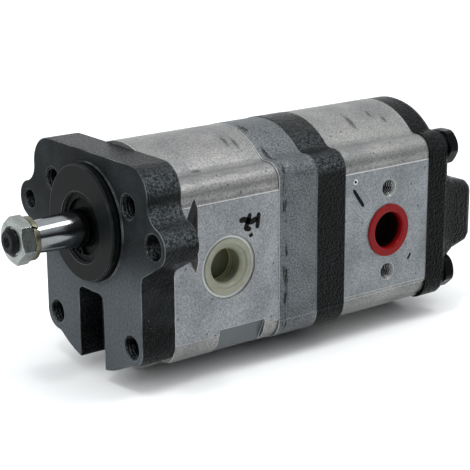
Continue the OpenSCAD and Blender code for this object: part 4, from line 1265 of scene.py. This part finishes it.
@dataclass
class MountingEnd(SubAssembly):
    """Flanged front cover with its pilot, ring, shaft seal and tapped holes."""

    bolt_y: float = 30.0
    bolt_z: tuple[float, float] = (14.7, -46.4)
    thread: Thread = field(default_factory=lambda: Thread(hole_r=5.0, crest_r=4.3, pitch=1.5, length=3.2))
    thread_start: float = 0.75

    def build(self) -> None:
        """Makes the threads that show in the mouths of the four bolt holes."""
        ridges = [self.thread.mesh(Vector((self.thread_start, side * self.bolt_y, z)) * MM, Vector((1, 0, 0)))
                  for side in (-1, 1) for z in self.bolt_z]
        piece("cover_hole_threads", joined(ridges), "housing", IRON_CAST)

    def dress(self) -> None:
        """Gives the cover and its seals their finishes."""
        dress(IRON_FACED, "front_cover")
        dress(NITRILE, "pilot_o_ring", "shaft_seal")
        dress(SHADED_SPRING_STEEL, "seal_retaining_ring")


@dataclass
class DriveLine(SubAssembly):
    """Tapered shaft with key, spring washer and nut, and the disc that couples the rear stage."""

    black_end: float = 2.5

    def dress(self) -> None:
        """Gives the turning pieces their finishes."""
        dress(GroundShaft("ground_shaft", bright_x=lowest("drive_shaft").x + self.black_end), "drive_shaft")
        dress(GROUND_STEEL, "woodruff_key")
        dress(YELLOW_ZINC, "lock_washer")
        dress(ZINC, "shaft_nut")
        dress(GEAR_STEEL, "coupling_disc")


@dataclass
class FrontStage(SubAssembly):
    """Front pump body with gears, blocks, seals and the threaded ports' plugs."""

    face_y: float = field(default_factory=lambda: highest("front_body").y)
    plug_sunk: float = 0.9
    port: SpotFace = SpotFace(x=45.1, z=-17.7, radius=14.15)
    pad: MilledPad = MilledPad(x=(39.7, 64.5), top_z=-45.0, back_y=-30.0)
    scribble: tuple[PenStroke, ...] = (
        PenStroke(((50.6, 1.6), (53.0, 2.0), (57.0, 0.2), (60.6, 1.4)), width=2.6),
        PenStroke(((56.6, 4.2), (55.4, 1.0), (53.9, -2.2), (57.0, -3.0)), width=2.3),
        PenStroke(((61.2, 3.8), (60.4, -2.0), (60.0, -3.2)), width=2.2),
        PenStroke(((55.9, -6.0), (57.9, -5.2)), width=1.7))
    smudges: tuple[Smudge, ...] = (
        Smudge(60.5, -15.0, 31.0, long_mm=1.6, wide_mm=5.0),
        Smudge(64.5, -17.0, 30.0, long_mm=1.5, wide_mm=5.5),
        Smudge(37.0, -26.0, 23.0, long_mm=3.5, wide_mm=1.4))

    def build(self) -> None:
        """Makes the marker scribble on the near port face."""
        strokes = joined([stroke.mesh(-self.face_y) for stroke in self.scribble])
        piece("marker_scribble", strokes, "housing", INK_AND_PIT_SHADOW, smooth=False)

    def dress(self) -> None:
        """Gives the stage's nodes their finishes."""
        dress(BlastedAluminium("blasted_aluminium_front", face_y=self.face_y,
                               marks=(*self.smudges, self.pad, self.port)), "front_body")
        dress(GEAR_STEEL, "front_driven_gear")
        dress(TURNED_ALUMINIUM, "front_bearing_blocks")
        dress(BRONZE, "front_bushes")
        dress(NITRILE, "front_block_seals")
        # the plug's deep colour is painted shade down its hollow, and its bands are painted highlights on its
        # ribs
        dress(Polyethylene("natural_polyethylene", tone="#8a8c7e", deep="#565b45", hollow_mm=3.5, band_mm=1.6,
                           face_y=self.face_y - self.plug_sunk, scatter=0.4, clear=0.12),
              "threaded_port_plugs")


@dataclass
class CouplingSection(SubAssembly):
    """Coupling housing and intermediate cover between the two stages."""

    pits_behind: float = 3.3

    def dress(self) -> None:
        """Gives the section's nodes their finishes."""
        pit_x = lowest("coupling_housing").x + self.pits_behind
        dress(CastAluminium("cast_aluminium", pit_x=pit_x), "coupling_housing")
        dress(IRON_CAST, "middle_cover")
        dress(NITRILE, "middle_seal")


@dataclass
class RearStage(SubAssembly):
    """Rear pump body with gears, blocks and the flanged ports with caps and screw holes."""

    face_y: float = field(default_factory=lambda: highest("rear_body").y)
    screws: dict = field(default_factory=lambda: mount("near_rear_port_holes"))
    thread: Thread = field(default_factory=lambda: Thread(hole_r=3.39, crest_r=3.0, pitch=1.25, length=11.0,
                                                          steps=24, foot=0.28))
    thread_start: float = 1.3
    screw_r: float = 3.4
    slash: PenStroke = field(default_factory=lambda: PenStroke(((115.2, 4.9), (121.7, -3.9)), width=1.8))
    nick: PenStroke = field(default_factory=lambda: PenStroke(((150.1, -34.2), (151.9, -31.6)), width=1.2))
    punch: PunchMark = field(default_factory=PunchMark)
    smudges: tuple[Smudge, ...] = (
        Smudge(131.8, -16.6, 30.3, long_mm=1.7, wide_mm=6.5),
        Smudge(145.8, -13.5, 31.7, long_mm=1.5, wide_mm=4.0),
        Smudge(151.4, -18.1, 29.4, long_mm=1.6, wide_mm=3.4))

    def screw_axes(self) -> list[tuple[float, float]]:
        """Places the screw holes above and below the port, as the record's mount says.

        Returns:
            X and Z of each hole's axis, in millimetres.
        """
        x, _, z = (value / MM for value in self.screws["pos_m"])
        pitch = self.screws["dims"]["spacing_y_mm"]
        return [(x, z + k * pitch / 2) for k in (-1, 1)]

    def build(self) -> None:
        """Makes the screw threads, the marker strokes and the centre punch mark."""
        start_y = self.face_y - self.thread_start
        ridges = [self.thread.mesh(Vector((x, side * start_y, z)) * MM, Vector((0, -side, 0)))
                  for side in (-1, 1) for x, z in self.screw_axes()]
        piece("port_hole_threads", joined(ridges), "housing", TAPPED_ALUMINIUM)
        strokes = joined([stroke.mesh(-self.face_y) for stroke in (self.slash, self.nick)])
        piece("marker_strokes", strokes, "housing", INK_AND_PIT_SHADOW, smooth=False)
        self.punch.build(-self.face_y)

    def dress(self) -> None:
        """Gives the stage's nodes their finishes."""
        holes = [TappedBore(x, z, self.screw_r) for x, z in self.screw_axes()]
        dress(BlastedAluminium("blasted_aluminium_rear", skin="#8b8b88", milled="#84888b", face_y=self.face_y,
                               marks=(*self.smudges, *holes)), "rear_body")
        dress(GEAR_STEEL, "rear_drive_gear", "rear_driven_gear")
        dress(TURNED_ALUMINIUM, "rear_bearing_blocks")
        dress(BRONZE, "rear_bushes")
        dress(NITRILE, "rear_block_seals")
        # the cap's deep colour is painted shade down its hollow
        dress(Polyethylene("red_polyethylene", tone="#73070b", deep="#110706", face_y=self.face_y,
                           hollow_mm=3.0), "port_caps")


@dataclass
class RearEnd(SubAssembly):
    """Rear cover, tie bolts, and the dowels and seals between the sections."""

    def dress(self) -> None:
        """Gives the rear end's nodes their finishes."""
        dress(IRON_END, "rear_cover")
        dress(BLACK_SCREW, "tie_bolts")
        dress(NITRILE, "face_seals")
        dress(GROUND_STEEL, "dowel_pins")


# studio


@dataclass(frozen=True)
class Lamp:
    """A square soft lamp: its place and the length of its side in metres, and its power in watts."""

    name: str
    at: tuple[float, float, float]
    side: float
    watts: float

    def hang(self, aim: tuple[float, float, float]) -> None:
        """Hangs the lamp and turns it.

        Args:
            aim: the point that it faces, in metres.
        """
        data = bpy.data.lights.new(self.name, "AREA")
        data.size = self.side
        data.energy = self.watts
        lamp = bpy.data.objects.new(self.name, data)
        lamp.location = self.at
        lamp.rotation_euler = (Vector(aim) - Vector(self.at)).to_track_quat("-Z", "Y").to_euler()
        bpy.context.scene.collection.objects.link(lamp)


@dataclass
class Studio:
    """Pale floor, soft lights and the camera at the photograph's angle.

    The focal length and the image's side are pixels of the photograph, the angles are degrees and
    the camera's eye is in millimetres. The floor's half side and the point lit are in metres.
    """

    focal_px: float = 1461.5
    image_px: int = 470
    yaw: float = 37.186
    pitch: float = 16.304
    roll: float = -0.350
    eye: tuple[float, float, float] = (-311.58, -512.54, 170.13)
    sensor_mm: float = 36.0
    near_clip: float = 0.01
    floor_half: float = 3.0
    floor_tone: str = "#f6f7f7"
    lit_point: tuple[float, float, float] = (0.08, 0.0, -0.02)
    lamps: tuple[Lamp, ...] = (
        Lamp("overhead", (0.1, 0.1, 1.1), side=1.2, watts=1.5),
        Lamp("front_right", (0.55, -0.55, 1.3), side=0.45, watts=6.5),
        Lamp("front_left", (-1.1, -0.25, 0.5), side=0.6, watts=4.0),
        Lamp("spark", (-0.35, -0.25, 1.1), side=0.14, watts=2.2))
    room_bright: str = "#f0f2f4"
    room_dim: str = "#303336"
    room_strength: float = 1.25
    bright_way: tuple[float, float, float] = (0.0, 0.75, 0.66)

    def floor(self) -> None:
        """Lays the floor under the lowest point of the part."""
        low = cad_box[0][2]
        s = self.floor_half
        mesh = bpy.data.meshes.new("floor")
        mesh.from_pydata([(-s, -s, low), (s, -s, low), (s, s, low), (-s, s, low)], [], [(0, 1, 2, 3)])
        pale = bpy.data.materials.new("pale_floor")
        pale.use_nodes = True
        feed(pale.node_tree, pale.node_tree.nodes["Principled BSDF"],
             {"Base Color": linear(self.floor_tone), "Roughness": 0.9, "Specular IOR Level": 0.1})
        mesh.materials.append(pale)
        made = bpy.data.objects.new("floor", mesh)
        bpy.context.scene.collection.objects.link(made)

    def lights(self) -> None:
        """Sets the light: soft ones overhead and in front, a small one for glints and a pale room."""
        for lamp in self.lamps:
            lamp.hang(self.lit_point)
        world = bpy.data.worlds.new("pale_room")
        world.use_nodes = True
        tree = world.node_tree
        way = add(tree, "TexCoord", "Generated")
        # bright above and behind, dim in front, so that bright metal has something dark to show
        lean = add(tree, "VectorMath", "Value", {0: way, 1: self.bright_way}, operation="DOT_PRODUCT")
        rise = add(tree, "MapRange", "Result", {"Value": lean, LOW: -0.6, HIGH: -0.05},
                   interpolation_type="SMOOTHSTEP")
        sky = add(tree, "Mix", RGB, {BY: rise, RGB_A: linear(self.room_dim), RGB_B: linear(self.room_bright)},
                  data_type="RGBA")
        feed(tree, tree.nodes["Background"], {"Color": sky, "Strength": self.room_strength})
        bpy.context.scene.world = world
        bpy.context.scene.view_settings.view_transform = "Standard"

    def camera(self) -> None:
        """Places the camera from the photograph's yaw, pitch and roll about the part's frame."""
        turn, dip, roll = (math.radians(a) for a in (self.yaw, self.pitch, self.roll))
        ahead = Vector((math.sin(turn) * math.cos(dip), math.cos(turn) * math.cos(dip), -math.sin(dip)))
        right = Vector((math.cos(turn), -math.sin(turn), 0.0))
        up = right.cross(ahead)
        tilted = right * math.cos(roll) + up * math.sin(roll)
        upright = up * math.cos(roll) - right * math.sin(roll)
        data = bpy.data.cameras.new("camera")
        data.sensor_width = self.sensor_mm
        data.lens = self.focal_px / self.image_px * self.sensor_mm
        data.clip_start = self.near_clip
        camera = bpy.data.objects.new("camera", data)
        axes = Matrix((tilted, upright, -ahead)).transposed()
        camera.matrix_world = Matrix.Translation(Vector(self.eye) * MM) @ axes.to_4x4()
        bpy.context.scene.collection.objects.link(camera)
        bpy.context.scene.camera = camera


def main() -> None:
    """Builds and dresses the sub-assemblies in order, then sets up the studio."""
    logging.basicConfig(level=logging.INFO, format="%(message)s")
    for part in (MountingEnd(), DriveLine(), FrontStage(), CouplingSection(), RearStage(), RearEnd()):
        part.build()
        part.dress()
    studio = Studio()
    studio.floor()
    studio.lights()
    studio.camera()


if __name__ == "__main__":
    main()
